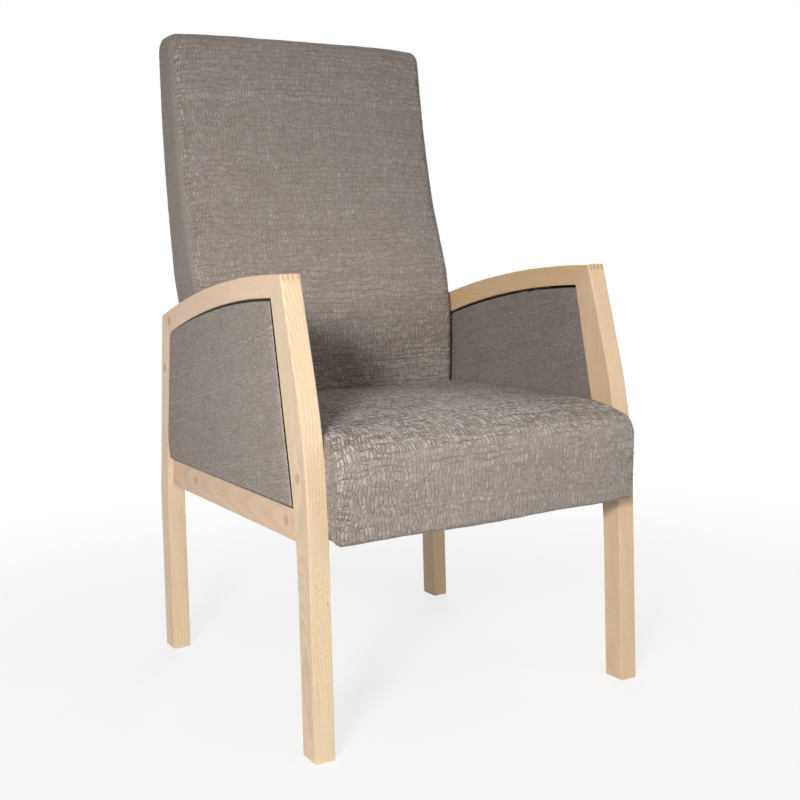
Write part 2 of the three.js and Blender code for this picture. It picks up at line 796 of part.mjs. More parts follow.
function addFastenings(name, side) {
  for (const place of bolts) {
    piece(`plug_${place.name}_${name}`, plugSolid(side, place), finish.plugWood);
    piece(`bolt_${place.name}_${name}`, boltSolid(side, place, 0), finish.steel);
  }
}

function addSeat() {
  piece('seat_front_rail', seatCrossRail(seatBox.front, seatInside.front), finish.carcass);
  piece('seat_rear_rail', seatCrossRail(seatInside.rear, seatBox.rear), finish.carcass);
  for (const [name, side] of sides) {
    piece(`seat_side_rail_${name}`, seatSideRail(side).subtract(holes[name]), finish.carcass);
    for (const end of ['front', 'rear']) {
      piece(`seat_corner_block_${end}_${name}`, cornerBlock(side, end), finish.carcass);
    }
  }
  for (const i of range(seatStrap.count)) piece(`seat_strap_${i + 1}`, seatWebbing(i), finish.webbing);
  piece('seat_foam', seatFoam().subtract(allHoles), finish.foam);
  piece('seat_cover', seatCover().subtract(allHoles), finish.cloth);
  piece('seat_dust_cover', dustCover(), finish.dustCloth);
}

function addBack() {
  for (const [name, side] of sides) {
    piece(`back_upright_${name}`, backUpright(side).subtract(holes[name]), finish.carcass);
  }
  const headRail = backCrossRail(backBox.top - backRail.headHeight, backRail.headHeight);
  const footRail = backCrossRail(backBox.bottom + backRail.footLift, backRail.footHeight);
  piece('back_head_rail', headRail, finish.carcass);
  piece('back_foot_rail', footRail, finish.carcass);
  backStrapShares.forEach((share, i) => piece(`back_strap_${i + 1}`, backWebbing(share), finish.webbing));
  piece('back_foam', backFoam().subtract(allHoles), finish.foam);
  piece('back_cover', backCover().subtract(allHoles), finish.cloth);
  piece('outside_back', outsideBackBoard(), finish.cloth);
}

for (const [name, side] of sides) {
  addSideFrame(name, side);
  addSidePanel(name, side);
  addFastenings(name, side);
}
addSeat();
addBack();

// The origin is on the floor under the middle of the whole chair
const middle = new THREE.Box3().setFromObject(chair).getCenter(new THREE.Vector3());
chair.position.y = -middle.y;

export default chair;
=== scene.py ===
"""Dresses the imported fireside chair: lacquered beech frames and taupe upholstery.

Side outlines are (y, z) in millimetres, with y counted from the front face of the front foot,
as in the CAD source. Everything else is in metres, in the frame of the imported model, unless a
comment says otherwise.
"""

import json
import math
from types import SimpleNamespace

import bpy
import numpy as np
from mathutils import Matrix, Vector


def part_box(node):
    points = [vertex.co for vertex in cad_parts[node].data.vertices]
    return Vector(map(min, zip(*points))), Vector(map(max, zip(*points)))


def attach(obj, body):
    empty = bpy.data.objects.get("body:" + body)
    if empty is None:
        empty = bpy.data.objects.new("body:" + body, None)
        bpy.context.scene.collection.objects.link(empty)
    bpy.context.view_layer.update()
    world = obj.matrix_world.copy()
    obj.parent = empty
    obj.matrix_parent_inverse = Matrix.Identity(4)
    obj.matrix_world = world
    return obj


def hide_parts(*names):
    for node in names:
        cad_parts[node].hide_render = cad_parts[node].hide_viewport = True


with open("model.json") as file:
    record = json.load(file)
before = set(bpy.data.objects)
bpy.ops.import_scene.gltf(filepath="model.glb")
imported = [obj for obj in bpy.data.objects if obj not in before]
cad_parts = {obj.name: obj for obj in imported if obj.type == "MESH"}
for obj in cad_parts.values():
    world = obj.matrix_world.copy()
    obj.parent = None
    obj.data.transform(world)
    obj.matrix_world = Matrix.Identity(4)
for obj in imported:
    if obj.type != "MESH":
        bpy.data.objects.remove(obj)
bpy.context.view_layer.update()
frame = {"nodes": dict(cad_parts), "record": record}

MM = 0.001
RNG = np.random.default_rng(20)
FRONT_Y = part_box("front_leg_left")[0].y
TURN = 2 * math.pi


def metres(points):
    """(x, y, z) in millimetres, y from the front foot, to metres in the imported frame."""
    out = np.asarray(points, float) * MM
    out[..., 1] += FRONT_Y
    return out


def ease(x):
    """A smooth step from 0 to 1."""
    x = np.clip(x, 0, 1)
    return x * x * (3 - 2 * x)


class Field:
    """A smooth random field: a sum of sine waves in random directions."""

    def __init__(self, wavelength, waves=14):
        ways = RNG.normal(size=(waves, 3))
        ways /= np.linalg.norm(ways, axis=1, keepdims=True)
        self.ways = ways * (TURN / wavelength) * RNG.uniform(0.7, 1.4, (waves, 1))
        self.phases = RNG.uniform(0, TURN, waves)

    def __call__(self, points):
        total = np.sin(points @ self.ways.T + self.phases).sum(axis=-1)
        return total / math.sqrt(len(self.phases))


# Outlines

ARC_STEPS = 12


def unit(vectors):
    return vectors / np.maximum(np.linalg.norm(vectors, axis=-1, keepdims=True), 1e-12)


def lengths_along(points):
    """The length of the way from the first point to each point of a line."""
    return np.r_[0, np.cumsum(np.linalg.norm(np.diff(points, axis=0), axis=1))]


def resample(line, shares):
    lengths = lengths_along(line)
    at = np.asarray(shares) * lengths[-1]
    return np.stack([np.interp(at, lengths, line[:, k]) for k in range(2)], axis=1)


def inset_loop(points, distance):
    before = np.roll(points, 1, axis=0)
    after = np.roll(points, -1, axis=0)
    first = unit(points - before)[:, ::-1] * [-1, 1]
    second = unit(after - points)[:, ::-1] * [-1, 1]
    middle = unit(first + second)
    reach = distance / (middle * first).sum(axis=1)
    return points + middle * reach[:, None]


def rounded_loop(corners, inset):
    """The loop with its corners rounded, and the index of the middle of each rounding.

    Each corner is y, z and the radius of its rounding. An inset loop has smaller roundings.
    """
    points = inset_loop(np.array([c[:2] for c in corners], float), inset)
    out, middles = [], []
    for i, here in enumerate(points):
        full_radius = corners[i][2]
        if not full_radius:
            out.append(here)
            continue
        radius = max(full_radius - 0.2 * inset, full_radius * 0.6)
        to_before = unit(points[i - 1] - here)
        to_after = unit(points[(i + 1) % len(points)] - here)
        half_angle = math.acos(float(to_before @ to_after)) / 2
        centre = here + unit(to_before + to_after) * radius / math.sin(half_angle)
        start = here + to_before * radius / math.tan(half_angle) - centre
        for k in range(ARC_STEPS + 1):
            angle = (math.pi - 2 * half_angle) * k / ARC_STEPS
            cos, sin = math.cos(angle), math.sin(angle)
            out.append(centre + [start[0] * cos - start[1] * sin, start[0] * sin + start[1] * cos])
        middles.append(len(out) - 1 - ARC_STEPS // 2)
    return np.array(out), middles


def spline(points, count):
    """A Catmull-Rom line through the points, as a number of even steps."""
    points = np.asarray(points, float)
    padded = np.vstack([points[0], points, points[-1]])
    out = []
    for t in np.linspace(0, len(points) - 1, count * 4 + 1):
        i = min(int(t), len(points) - 2)
        s = t - i
        p0, p1, p2, p3 = padded[i : i + 4]
        v0, v1 = (p2 - p0) / 2, (p3 - p1) / 2
        cubic = (2 * p1 - 2 * p2 + v0 + v1) * s**3
        square = (-3 * p1 + 3 * p2 - 2 * v0 - v1) * s**2
        out.append(cubic + square + v0 * s + p1)
    return resample(np.array(out), np.linspace(0, 1, count + 1))


def even(count, ends=0.35):
    """Shares from 0 to 1, closer together near both ends."""
    t = np.linspace(0, 1, count + 1)
    return (1 - ends) * t + ends * (1 - np.cos(math.pi * t)) / 2


# Half the width in millimetres of a step in a cushion's surface
STEP_HALF = 0.35


def with_steps(shares, length, places):
    """Shares of a length with a close pair of lines at each place, for a step in the surface."""
    apart = STEP_HALF / length
    kept = [s for s in shares if all(abs(s - p) > 2.5 * apart for p in places)]
    pairs = [p + d for p in places for d in (-apart, apart)]
    return np.array(sorted(kept + pairs))


def places_across(outermost, half, step_at):
    """Places from the side of a cushion to its middle, with a step at one of them."""
    innermost, count = 6, 34
    shares = np.linspace(outermost, innermost, count) / half
    return with_steps(shares, half, [step_at / half])[::-1] * half


# Meshes


def place_object(name, data):
    thing = bpy.data.objects.new(name, data)
    bpy.context.scene.collection.objects.link(thing)
    return thing


def new_object(name, vertices, faces, weave):
    """A smooth mesh. weave is the cloth's place and relief at each corner of each face."""
    mesh = bpy.data.meshes.new(name)
    mesh.from_pydata([tuple(v) for v in vertices], [], [tuple(int(i) for i in f) for f in faces])
    layer = mesh.attributes.new("weave", "FLOAT_VECTOR", "CORNER")
    layer.data.foreach_set("vector", np.asarray(weave, np.float32).ravel())
    mesh.polygons.foreach_set("use_smooth", [True] * len(mesh.polygons))
    mesh.update()
    return place_object(name, mesh)


def grid_normals(points):
    """Outward normals of a grid of points that is closed in its second direction."""
    along = np.gradient(points, axis=0)
    across = (np.roll(points, -1, axis=1) - np.roll(points, 1, axis=1)) / 2
    return unit(np.cross(across, along))


def grid_rings(rows, columns):
    """The corners of each face of a grid, as rows and columns."""
    for i in range(rows):
        for j in range(columns):
            yield [(i, j), (i, j + 1), (i + 1, j + 1), (i + 1, j)]


def grid_border(rows, columns):
    """The points along the border of a grid, as rows and columns."""
    return (
        [(i, 0) for i in range(rows)]
        + [(rows - 1, j) for j in range(1, columns)]
        + [(i, columns - 1) for i in range(rows - 2, -1, -1)]
        + [(0, j) for j in range(columns - 2, 0, -1)]
    )


# How far off on the cloth the end faces, boards and panels are cut, in metres
END_CUT, BOARD_CUT, PANEL_CUT = 0.4, 1.7, 2.0


def coons(bottom, right, top, left):
    """A patch between four edges: bottom and top run one way, left and right the other."""
    u = np.linspace(0, 1, len(bottom))[:, None, None]
    v = np.linspace(0, 1, len(left))[None, :, None]
    ruled_v = (1 - v) * bottom[:, None] + v * top[:, None]
    ruled_u = (1 - u) * left[None] + u * right[None]
    low = (1 - u) * (1 - v) * bottom[0] + u * (1 - v) * bottom[-1]
    high = (1 - u) * v * top[0] + u * v * top[-1]
    return ruled_v + ruled_u - (low + high)


def facing_up(normals):
    """0 where a surface stands upright, and 1 where it is nearly level."""
    return ease((normals[..., 2] - 0.30) / 0.55)


class Cushion:
    """A side outline swept across the chair, crowned in the middle and turned in at both sides.

    The grid's first direction is the station across the chair and its second runs round the
    outline: bottom, rear, top, front, which all start at the middle of a rounded corner.
    """

    TURN_STEPS = 14
    SETTLE_STEPS = 300

    def __init__(self, corners_at, fuller, shares, inner_x, half_width, side_radius, squareness,
                 crown_power):
        self.sides = shares
        self.starts = [0, *np.cumsum([len(side) - 1 for side in shares])]
        self.stations = self._stations(inner_x, half_width, side_radius, 2 / squareness)
        rows = []
        for x, inset in self.stations:
            crown_share = 1 - abs(x / half_width) ** crown_power
            rows.append(self._row(*rounded_loop(corners_at(crown_share), inset)))
        rows = np.array(rows)
        x = np.array([s[0] for s in self.stations])[:, None] * (1 + fuller(rows) / half_width)
        self.grid = metres(np.dstack([x, rows]))
        self.normals = grid_normals(self.grid)
        middle = self.grid[len(self.grid) // 2]
        self.along = lengths_along(np.vstack([middle, middle[:1]]))
        across = lengths_along(self.grid[:, 0])
        self.across = across - across[len(across) // 2]
        self.from_end = abs(self.across[0]) - np.abs(self.across)

    def _stations(self, inner_x, half_width, side_radius, power):
        """Places across the cushion, each with how far the outline is turned in there."""
        flat = half_width - side_radius
        outer = []
        for i in range(self.TURN_STEPS + 1):
            angle = math.pi / 2 * (1 - i / self.TURN_STEPS)
            x = flat + side_radius * math.sin(angle) ** power
            outer.append((x, side_radius * (1 - math.cos(angle) ** power)))
        half = outer + [(x, 0.0) for x in inner_x if x < flat - 2]
        return [(-x, inset) for x, inset in half] + [(0.0, 0.0)] + half[::-1]

    def _row(self, loop, middles):
        """The outline's points at the shares of each side."""
        row = []
        for k, side in enumerate(self.sides):
            start, end = middles[k], middles[(k + 1) % len(middles)]
            if end > start:
                line = loop[start : end + 1]
            else:
                line = np.vstack([loop[start:], loop[: end + 1]])
            row.append(resample(line, side)[:-1])
        return np.vstack(row)

    def build(self, name, relief, bulge, pull, pull_reach, end_relief, top_stretch=0.0):
        """Makes the mesh.

        The cloth is drawn outwards by pull at the sides, and lies less dense on top by
        top_stretch. bulge is how far the end faces stand out, and end_relief is their relief.
        """
        rows, size = self.grid.shape[:2]
        stands = relief(self.grid, self.normals)
        upward = facing_up(self.normals[rows // 2])
        along = np.r_[0, np.cumsum(np.diff(self.along) * (1 - top_stretch * upward))]
        drawn = pull * np.exp(-self.from_end / pull_reach)
        vertices = list(self.grid.reshape(-1, 3))
        faces, weave = [], []
        for ring in grid_rings(rows - 1, size):
            faces.append([i * size + j % size for i, j in ring])
            weave.extend((self.across[i], along[j] - drawn[i], stands[i, j % size]) for i, j in ring)
        for station in (0, rows - 1):
            self._close(station, bulge, vertices, faces, weave, end_relief)
        return new_object(name, vertices, faces, weave)

    def _end_patch(self, station, bulge):
        """The flat end of the cushion as a patch, settled and bulged outwards."""
        loop = self.grid[station]
        a, b, c, d = self.starts[:4]
        front = np.vstack([loop[d:], loop[:1]])[::-1]
        patch = coons(loop[a : b + 1], loop[b : c + 1], loop[c : d + 1][::-1], front)
        for _ in range(self.SETTLE_STEPS):
            around = patch[2:, 1:-1] + patch[:-2, 1:-1] + patch[1:-1, 2:] + patch[1:-1, :-2]
            patch[1:-1, 1:-1] = around / 4
        u, v = (np.linspace(0, 1, count) for count in patch.shape[:2])
        swell = (16 * np.outer(u * (1 - u), v * (1 - v))) ** 0.45
        patch[..., 0] += math.copysign(1, patch[0, 0, 0]) * bulge * swell
        return patch

    def _close(self, station, bulge, vertices, faces, weave, relief):
        """Adds an end face, whose border is the grid's own row of points."""
        patch = self._end_patch(station, bulge)
        size = self.grid.shape[1]
        nu, nv = patch.shape[:2]
        base = station * size
        index = np.full((nu, nv), -1)
        index[:, 0] = base + np.arange(nu)
        index[-1, :] = base + self.starts[1] + np.arange(nv)
        index[:, -1] = base + self.starts[2] + np.arange(nu)[::-1]
        index[0, :] = base + (-np.arange(nv)) % size
        for i in range(1, nu - 1):
            for j in range(1, nv - 1):
                index[i, j] = len(vertices)
                vertices.append(patch[i, j])
        for ring in grid_rings(nu - 1, nv - 1):
            if station:
                ring.reverse()
            faces.append([index[r] for r in ring])
            weave.extend((patch[r][1] + END_CUT, patch[r][2], relief) for r in ring)


def puckers(length, strength):
    """Small folds that run away from a seam: a wave along the seam with an uneven spacing."""
    drift = Field(0.06, 8)
    level = Field(0.09, 8)
    pitch = 0.0105
    line = np.stack([length, length * 0, length * 0], axis=-1)
    wave = np.cos(TURN * length / pitch + 1.6 * drift(line))
    return strength * wave * np.clip(0.55 + 0.5 * level(line), 0, 1.4)


# How far the folds run from a seam, and the height, distance and width of the welt beside it
FOLD_REACH = 0.011
WELT_HEIGHT, WELT_AT, WELT_WIDTH = 0.0005, 0.0042, 0.003


def finish_cushion(cushion, seam_inset, seam_depth, seam_width, ripple, pucker):
    """Soft unevenness, a seam along each side edge and small folds beside it."""
    slow = Field(0.16)
    quick = Field(0.045)
    end = np.broadcast_to(cushion.from_end[:, None], cushion.grid.shape[:2])
    along = np.broadcast_to(cushion.along[:-1], end.shape)
    from_seam = end - seam_inset
    amount = ripple * (slow(cushion.grid) + 0.35 * quick(cushion.grid)) * ease((end - 0.004) / 0.03)
    right_shift = 0.31 * (cushion.across[:, None] > 0)
    amount = amount + puckers(along + right_shift, pucker) * np.exp(-np.abs(from_seam) / FOLD_REACH)
    amount = amount - seam_depth * np.exp(-((from_seam / seam_width) ** 2))
    welt = WELT_HEIGHT * np.exp(-(((np.abs(from_seam) - WELT_AT) / WELT_WIDTH) ** 2))
    cushion.grid = cushion.grid + cushion.normals * (amount + welt)[..., None]


def recess(cushion, side, opening, half_width, depth):
    """Sinks a rectangle of one side of a cushion by a depth in metres.

    Returns the face as it was, its normals, and the cloth's place across and along it.
    """
    start = cushion.starts[side]
    columns = [start + i for i, s in enumerate(cushion.sides[side]) if opening[0] < s < opening[1]]
    rows = [i for i, (x, _) in enumerate(cushion.stations) if abs(x) < half_width]
    chosen = np.ix_(rows, columns)
    face = cushion.grid[chosen].copy()
    normals = cushion.normals[chosen]
    cushion.grid[chosen] = face - normals * depth
    return face, normals, cushion.across[rows], cushion.along[columns]


BOARD_GAP = 0.0006


def board(name, recessed, proud, thickness, crown, edge):
    """A thin padded sheet in the shape of a recess, its edges rounded over the width edge."""
    face, normals, across, along = recessed
    nu, nv = face.shape[:2]
    u = lengths_along(face[:, nv // 2])
    v = lengths_along(face[nu // 2])
    from_edge = np.minimum(np.minimum(u, u[-1] - u)[:, None], np.minimum(v, v[-1] - v)[None, :])
    rounding = np.sqrt(np.clip(1 - (1 - np.clip(from_edge / edge, 0, 1)) ** 2, 0, 1))
    swell = ease(from_edge / 0.05) * crown
    outer = (proud + thickness) * (0.25 + 0.75 * rounding) - thickness + swell
    shrunk = face.copy()
    for axis, line in ((0, u), (1, v)):
        middle = face.mean(axis=axis, keepdims=True)
        shrunk = shrunk + (middle - face) * 2 * BOARD_GAP / line[-1]
    front = shrunk + normals * outer[..., None]
    back = shrunk - normals * thickness
    faces, weave = [], []

    def add(ring):
        """A face whose corners are a row, a column and a layer, which is 0 in front and 1 behind."""
        faces.append([layer * nu * nv + i * nv + j for i, j, layer in ring])
        weave.extend((across[i], along[j] + BOARD_CUT, 0.9) for i, j, _ in ring)

    for ring in grid_rings(nu - 1, nv - 1):
        add([(*spot, 0) for spot in ring])
        add([(*spot, 1) for spot in ring[::-1]])
    border = grid_border(nu, nv)
    for here, there in zip(border, border[1:] + border[:1]):
        add([(*here, 0), (*there, 0), (*there, 1), (*here, 1)])
    return new_object(name, [*front.reshape(-1, 3), *back.reshape(-1, 3)], faces, weave)


# Seat cushion

SEAT = SimpleNamespace(
    half=254.0, front=-42.0, rear=472.5, bottom=304.0, top=450.0,
    foot_radius=8.0, rear_radius=14.0, side_radius=9.0,
    nose_drop=24.0, nose_length=112.0, nose_power=2.2, nose_radius=33.0, nose_sag=2.5,
    crown=11.0, front_crown=4.0, fuller=5.5,
)
SEAT_DEPTH = SEAT.rear - SEAT.front
DUST_HALF = 232.3
DUST_OPENING = (0.040, 0.955)


def seat_corners(crown_share):
    front = SEAT.front - SEAT.front_crown * crown_share

    def top_at(y):
        nose = min((y - SEAT.front) / SEAT.nose_length, 1)
        share = (y - SEAT.front) / SEAT_DEPTH
        crown = SEAT.crown * crown_share * 4 * share * (1 - share)
        return SEAT.top - SEAT.nose_drop * (1 - nose) ** SEAT.nose_power + crown

    tops = [SEAT.front + SEAT_DEPTH * s for s in np.linspace(0.93, 0.075, 26)]
    foot = SEAT.foot_radius
    return [
        (front + foot, SEAT.bottom - SEAT.nose_sag, foot),
        (SEAT.rear, SEAT.bottom, foot),
        (SEAT.rear, SEAT.top, SEAT.rear_radius),
        *[(y, top_at(y), 0) for y in tops],
        (front, top_at(SEAT.front), SEAT.nose_radius),
    ]


def seat_fuller(sides):
    """How much wider the seat is in front of the legs, where nothing holds it."""
    return SEAT.fuller * ease((4 - sides[..., 0]) / 26)


def seat_relief(place, normals):
    """How strongly the weave stands out: most on top and more towards the left arm. The stronger
    colour contrast paints shade: on top the shade of the relief under grazing light, on the left the
    arm's shadow. The bump is real.
    """
    top = facing_up(normals)
    level = ease((normals[..., 2] - 0.90) / 0.08)
    sides = ease((np.abs(place[..., 0]) - 0.240) / 0.012)
    # Painted shadow of the left arm: the weave's contrast rises towards it.
    left = ease((-place[..., 0] - 0.05) / 0.18)
    return 0.85 + 0.5 * top + 0.95 * level + 0.4 * sides * (1 - top) + (0.20 + 0.1 * top) * left


seat_under = with_steps(even(70), SEAT_DEPTH - SEAT.foot_radius, DUST_OPENING)
seat_form = Cushion(
    seat_corners,
    seat_fuller,
    shares=[seat_under, even(26, 0.45), even(len(seat_under) - 1), even(26, 0.45)],
    inner_x=places_across(238, SEAT.half, DUST_HALF),
    half_width=SEAT.half,
    side_radius=SEAT.side_radius,
    squareness=2.0,
    crown_power=2,
)
dust_recess = recess(seat_form, 0, DUST_OPENING, DUST_HALF, depth=0.0080)
finish_cushion(seat_form, seam_inset=0.0075, seam_depth=0.0003, seam_width=0.0016, ripple=0.0008,
               pucker=0.00035)
seat = seat_form.build("seat", seat_relief, bulge=0.0012, pull=0.007, pull_reach=0.020,
                       end_relief=1.1, top_stretch=0.3)

# Back cushion

BACK = SimpleNamespace(
    half=251.0, foot=473.0, bottom=306.0, top=1092.0, rear_length=800,
    foot_radius=10.0, head_radius=20.0, side_radius=19.0,
    sweep=168.0, head_room=29.0, top_drop=5.0, crown=9.0,
    between_arms=2.6, fuller=7.2, free_from=600.0, fuller_rise=70.0,
)
BACK_RISE = BACK.top - BACK.head_room - SEAT.top
BOARD_HALF = 228.3
REAR_OPENING = (0.0155, 0.965)

# Both lines are shares of the back's sweep and of its rise above the seat
FACE_SHARES = [(0, 0), (-0.04, 0.2), (0.06, 0.335), (0.315, 0.555), (0.475, 0.785), (0.565, 1)]
REAR_SHARES = [(0.59, 0), (0.685, 0.283), (0.79, 0.45), (0.887, 0.607), (0.958, 0.775), (0.985, 0.92)]


def back_line(shares, count):
    places = [(BACK.foot + BACK.sweep * s, SEAT.top + BACK_RISE * r) for s, r in shares]
    return spline(places, count)


BACK_FACE = back_line(FACE_SHARES, 40)
BACK_REAR = back_line(REAR_SHARES, 30)


def back_corners(crown_share):
    rise = (BACK_FACE[:, 1] - SEAT.top) / BACK_RISE
    crown = BACK.crown * crown_share * 4 * rise * (1 - rise)
    face = [(y - c, z, 0) for (y, z), c in zip(BACK_FACE, crown)]
    step = (BACK_FACE[-1, 0] - BACK_FACE[-2, 0]) * 1.5
    head = BACK.top - BACK.top_drop * (1 - crown_share)
    return [
        (BACK.foot, BACK.bottom, BACK.foot_radius),
        (BACK.foot + BACK.sweep * 0.55, BACK.bottom, BACK.foot_radius),
        *[(y, z, 0) for y, z in BACK_REAR],
        (BACK.foot + BACK.sweep, head, BACK.head_radius),
        (BACK_FACE[-1, 0] + step, head, BACK.head_radius),
        *face[::-1],
    ]


def back_fuller(sides):
    """How much wider the back is above the arms, where nothing holds it."""
    above = sides[..., 1] - BACK.free_from
    share = above / (BACK.top - BACK.free_from)
    free = BACK.fuller * (1 - 0.45 * ease(share))
    return BACK.between_arms + (free - BACK.between_arms) * ease(above / BACK.fuller_rise)


def back_relief(place, normals):
    """How strongly the weave stands out: more at the foot of the back, less on its sides. The stronger
    colour contrast paints shade at the foot, the left arm's shadow in the lower left corner and glints
    where the face turns sideways. The bump is real.
    """
    low = ease((0.66 - place[..., 2]) / 0.20)
    # Painted shadow of the left arm and panel in the lower left corner of the back.
    corner = ease((-place[..., 0] - 0.02) / 0.16) * low
    turned = np.abs(normals[..., 0])
    # Painted glints where the face turns towards the sides.
    edge = ease((turned - 0.03) / 0.2)
    sides = ease((turned - 0.45) / 0.35)
    return 0.85 + 0.55 * low + 1.3 * corner + 0.45 * edge - 0.85 * sides


back_rear = with_steps(even(118, 0.2), BACK.rear_length, REAR_OPENING)
back_form = Cushion(
    back_corners,
    back_fuller,
    shares=[even(22, 0.45), back_rear, even(22, 0.45), even(len(back_rear) - 1, 0.2)],
    inner_x=places_across(234, BACK.half, BOARD_HALF),
    half_width=BACK.half,
    side_radius=BACK.side_radius,
    squareness=2.2,
    crown_power=4,
)
rear_recess = recess(back_form, 1, REAR_OPENING, BOARD_HALF, depth=0.0054)
finish_cushion(back_form, seam_inset=0.0045, seam_depth=0.0002, seam_width=0.0018, ripple=0.0007,
               pucker=0.0003)
back = back_form.build("back", back_relief, bulge=0.0008, pull=0.008, pull_reach=0.022,
                       end_relief=0.5)
outside_back = board("outside_back_panel", rear_recess, proud=0.0008, thickness=0.0046,
                     crown=0.0012, edge=0.003)
dust_cover = board("seat_lining", dust_recess, proud=-0.0030, thickness=0.0045, crown=0.0,
                   edge=0.002)

# Side panels

FRONT_LEG = SimpleNamespace(depth=39.0, bend_from=220, bend_radius=1000, lean=11)
REAR_LEG = SimpleNamespace(depth=571.0, bend_from=262, bend_radius=260, lean=8.9)
ARM = SimpleNamespace(height=668.0, thickness=34.0, arch_radius=1580.0, arch_top=70.0)
RAIL_TOP = 345.0

PANEL = SimpleNamespace(
    middle=272.0, rim_half=14.0, side_gap=0.3, rail_gap=2.3,
    arm_gap=(3.8, 2.4), arm_gap_at=(110.0, 500.0), steepness=9.0,
    front_height=0.35, drawn_in=0.28, drawn_height=0.21,
)
# Outwards, half the thickness at the edges and how much fuller the middle is
PANEL_SHEETS = ((1, 14.5, 6.5), (-1, 8.0, 5.5))
# How full a panel is at a distance from its edges
PUFF = [(0, 0), (2, 0.4), (6, 0.68), (15, 0.86), (34, 0.95), (66, 0.99), (96, 1), (200, 1)]


def sweep_at(leg, height):
    """How far a leg has swept inwards at a height: an arc, and then a straight line."""
    lean, radius = math.radians(leg.lean), leg.bend_radius
    rise = max(height - leg.bend_from, 0)
    arc_rise = radius * math.sin(lean)
    if rise <= arc_rise:
        return radius - math.sqrt(radius**2 - rise**2)
    return radius * (1 - math.cos(lean)) + (rise - arc_rise) * math.tan(lean)


def arm_under(y):
    radius = ARM.arch_radius
    arch = radius - math.sqrt(radius**2 - (y - ARM.arch_top) ** 2)
    return ARM.height - ARM.thickness - arch


def meet(edge, arc):
    """Where an upright edge meets the arc under the arm."""
    z = ARM.height
    for _ in range(40):
        z = arc(edge(z))
    return edge(z), z


def panel_edges(share=1.0):
    """The four edges of a side panel. With share 0 they meet the frame, and with 1 they stay clear."""
    bottom = RAIL_TOP + PANEL.rail_gap * share
    side_gap = PANEL.side_gap * share

    def front(z):
        return FRONT_LEG.depth + sweep_at(FRONT_LEG, z) + side_gap

    def straight(z):
        return REAR_LEG.depth - sweep_at(REAR_LEG, z) - side_gap

    def top(y):
        return arm_under(y) - float(np.interp(y, PANEL.arm_gap_at, PANEL.arm_gap)) * share

    front_top, rear_top = meet(front, top), meet(straight, top)
    drawn_height = (rear_top[1] - bottom) * PANEL.drawn_height

    def rear(z):
        """The rear edge, drawn in towards the foot of the panel."""
        below = max((bottom + drawn_height - z) / drawn_height, 0)
        return straight(z) - drawn_height * PANEL.drawn_in * below**2

    front_edge = np.array([(front(z), z) for z in np.linspace(bottom, front_top[1], 60)])
    rear_edge = np.array([(rear(z), z) for z in np.linspace(bottom, rear_top[1], 60)])
    top_edge = np.array([(y, top(y)) for y in np.linspace(front_top[0], rear_top[0], 90)])
    return np.array([front_edge[0], rear_edge[0]]), rear_edge, top_edge, front_edge


def distance_to(points, line):
    """Least distance from each point of a grid to a polyline."""
    start, end = line[:-1], line[1:]
    way = end - start
    rel = points[..., None, :] - start
    t = np.clip((rel * way).sum(-1) / (way * way).sum(-1), 0, 1)
    return np.linalg.norm(rel - t[..., None] * way, axis=-1).min(axis=-1)


def puff_at(distance):
    root = np.sqrt(np.maximum(distance, 0))
    return np.interp(root, [math.sqrt(d) for d, _ in PUFF], [r for _, r in PUFF])


def joined_distance(distances):
    """One smooth distance from several edges, which is 0 on each of them."""
    joined = sum(1 / np.maximum(d, 0.05) ** 4 for d in distances) ** -0.25
    return np.where(np.minimum.reduce(distances) < 0.01, 0, joined)


def side_panel(name, side):
    """A padded panel: two puffed sheets with small folds at their edges."""
    u, v = even(104, 0.75), even(56, 0.75)
    edges = panel_edges()
    patch = coons(*[resample(line, shares) for line, shares in zip(edges, (u, v, u, v))])
    to_bottom, to_rear, to_top, to_front = (distance_to(patch, line) for line in edges)
    steep = PANEL.steepness
    depth = joined_distance((to_rear, to_top * steep, to_bottom * steep))
    front_rise = PANEL.front_height + (1 - PANEL.front_height) * puff_at(to_front * 0.7)
    rise = puff_at(depth) * front_rise
    y, z = patch[..., 0], patch[..., 1]
    # Distance from the edge, place along it, and the folds' height, pitch, drift, reach and seed
    folded = (
        (to_front, z, 0.5, 8.6, 1.5, 9, 0),
        (to_rear, z, 0.35, 10.4, 1.9, 9, 3),
        (np.minimum(to_top, to_bottom), y, 0.3, 11.3, 1.9, 8, 5),
    )
    slow, drift = Field(0.12), Field(0.05, 8)
    sheets = []
    for outwards, edge_half, puff in PANEL_SHEETS:
        place = np.dstack([PANEL.middle + outwards * (edge_half + puff * rise), patch])
        here = place * MM
        soft = 0.5 * slow(here + outwards) * ease(np.minimum(depth, to_front) / 30)
        for distance, line, height, pitch, uneven, reach, seed in folded:
            wave = np.cos(TURN * line / pitch + uneven * drift(here + seed))
            soft = soft + height * wave * np.exp(-distance / reach) * ease(distance / 2.5)
        place[..., 0] = side * (place[..., 0] + outwards * soft)
        sheets.append(metres(place))
    whole = [resample(line, shares) for line, shares in zip(panel_edges(0.0), (u, v, u, v))]
    rim = [*whole[0], *whole[1][1:], *whole[2][-2::-1], *whole[3][-2:0:-1]]
    rim_x = (PANEL.middle + PANEL.rim_half) * side
    return sew_panel(name, side, sheets, patch, [metres((rim_x, *place)) for place in rim])


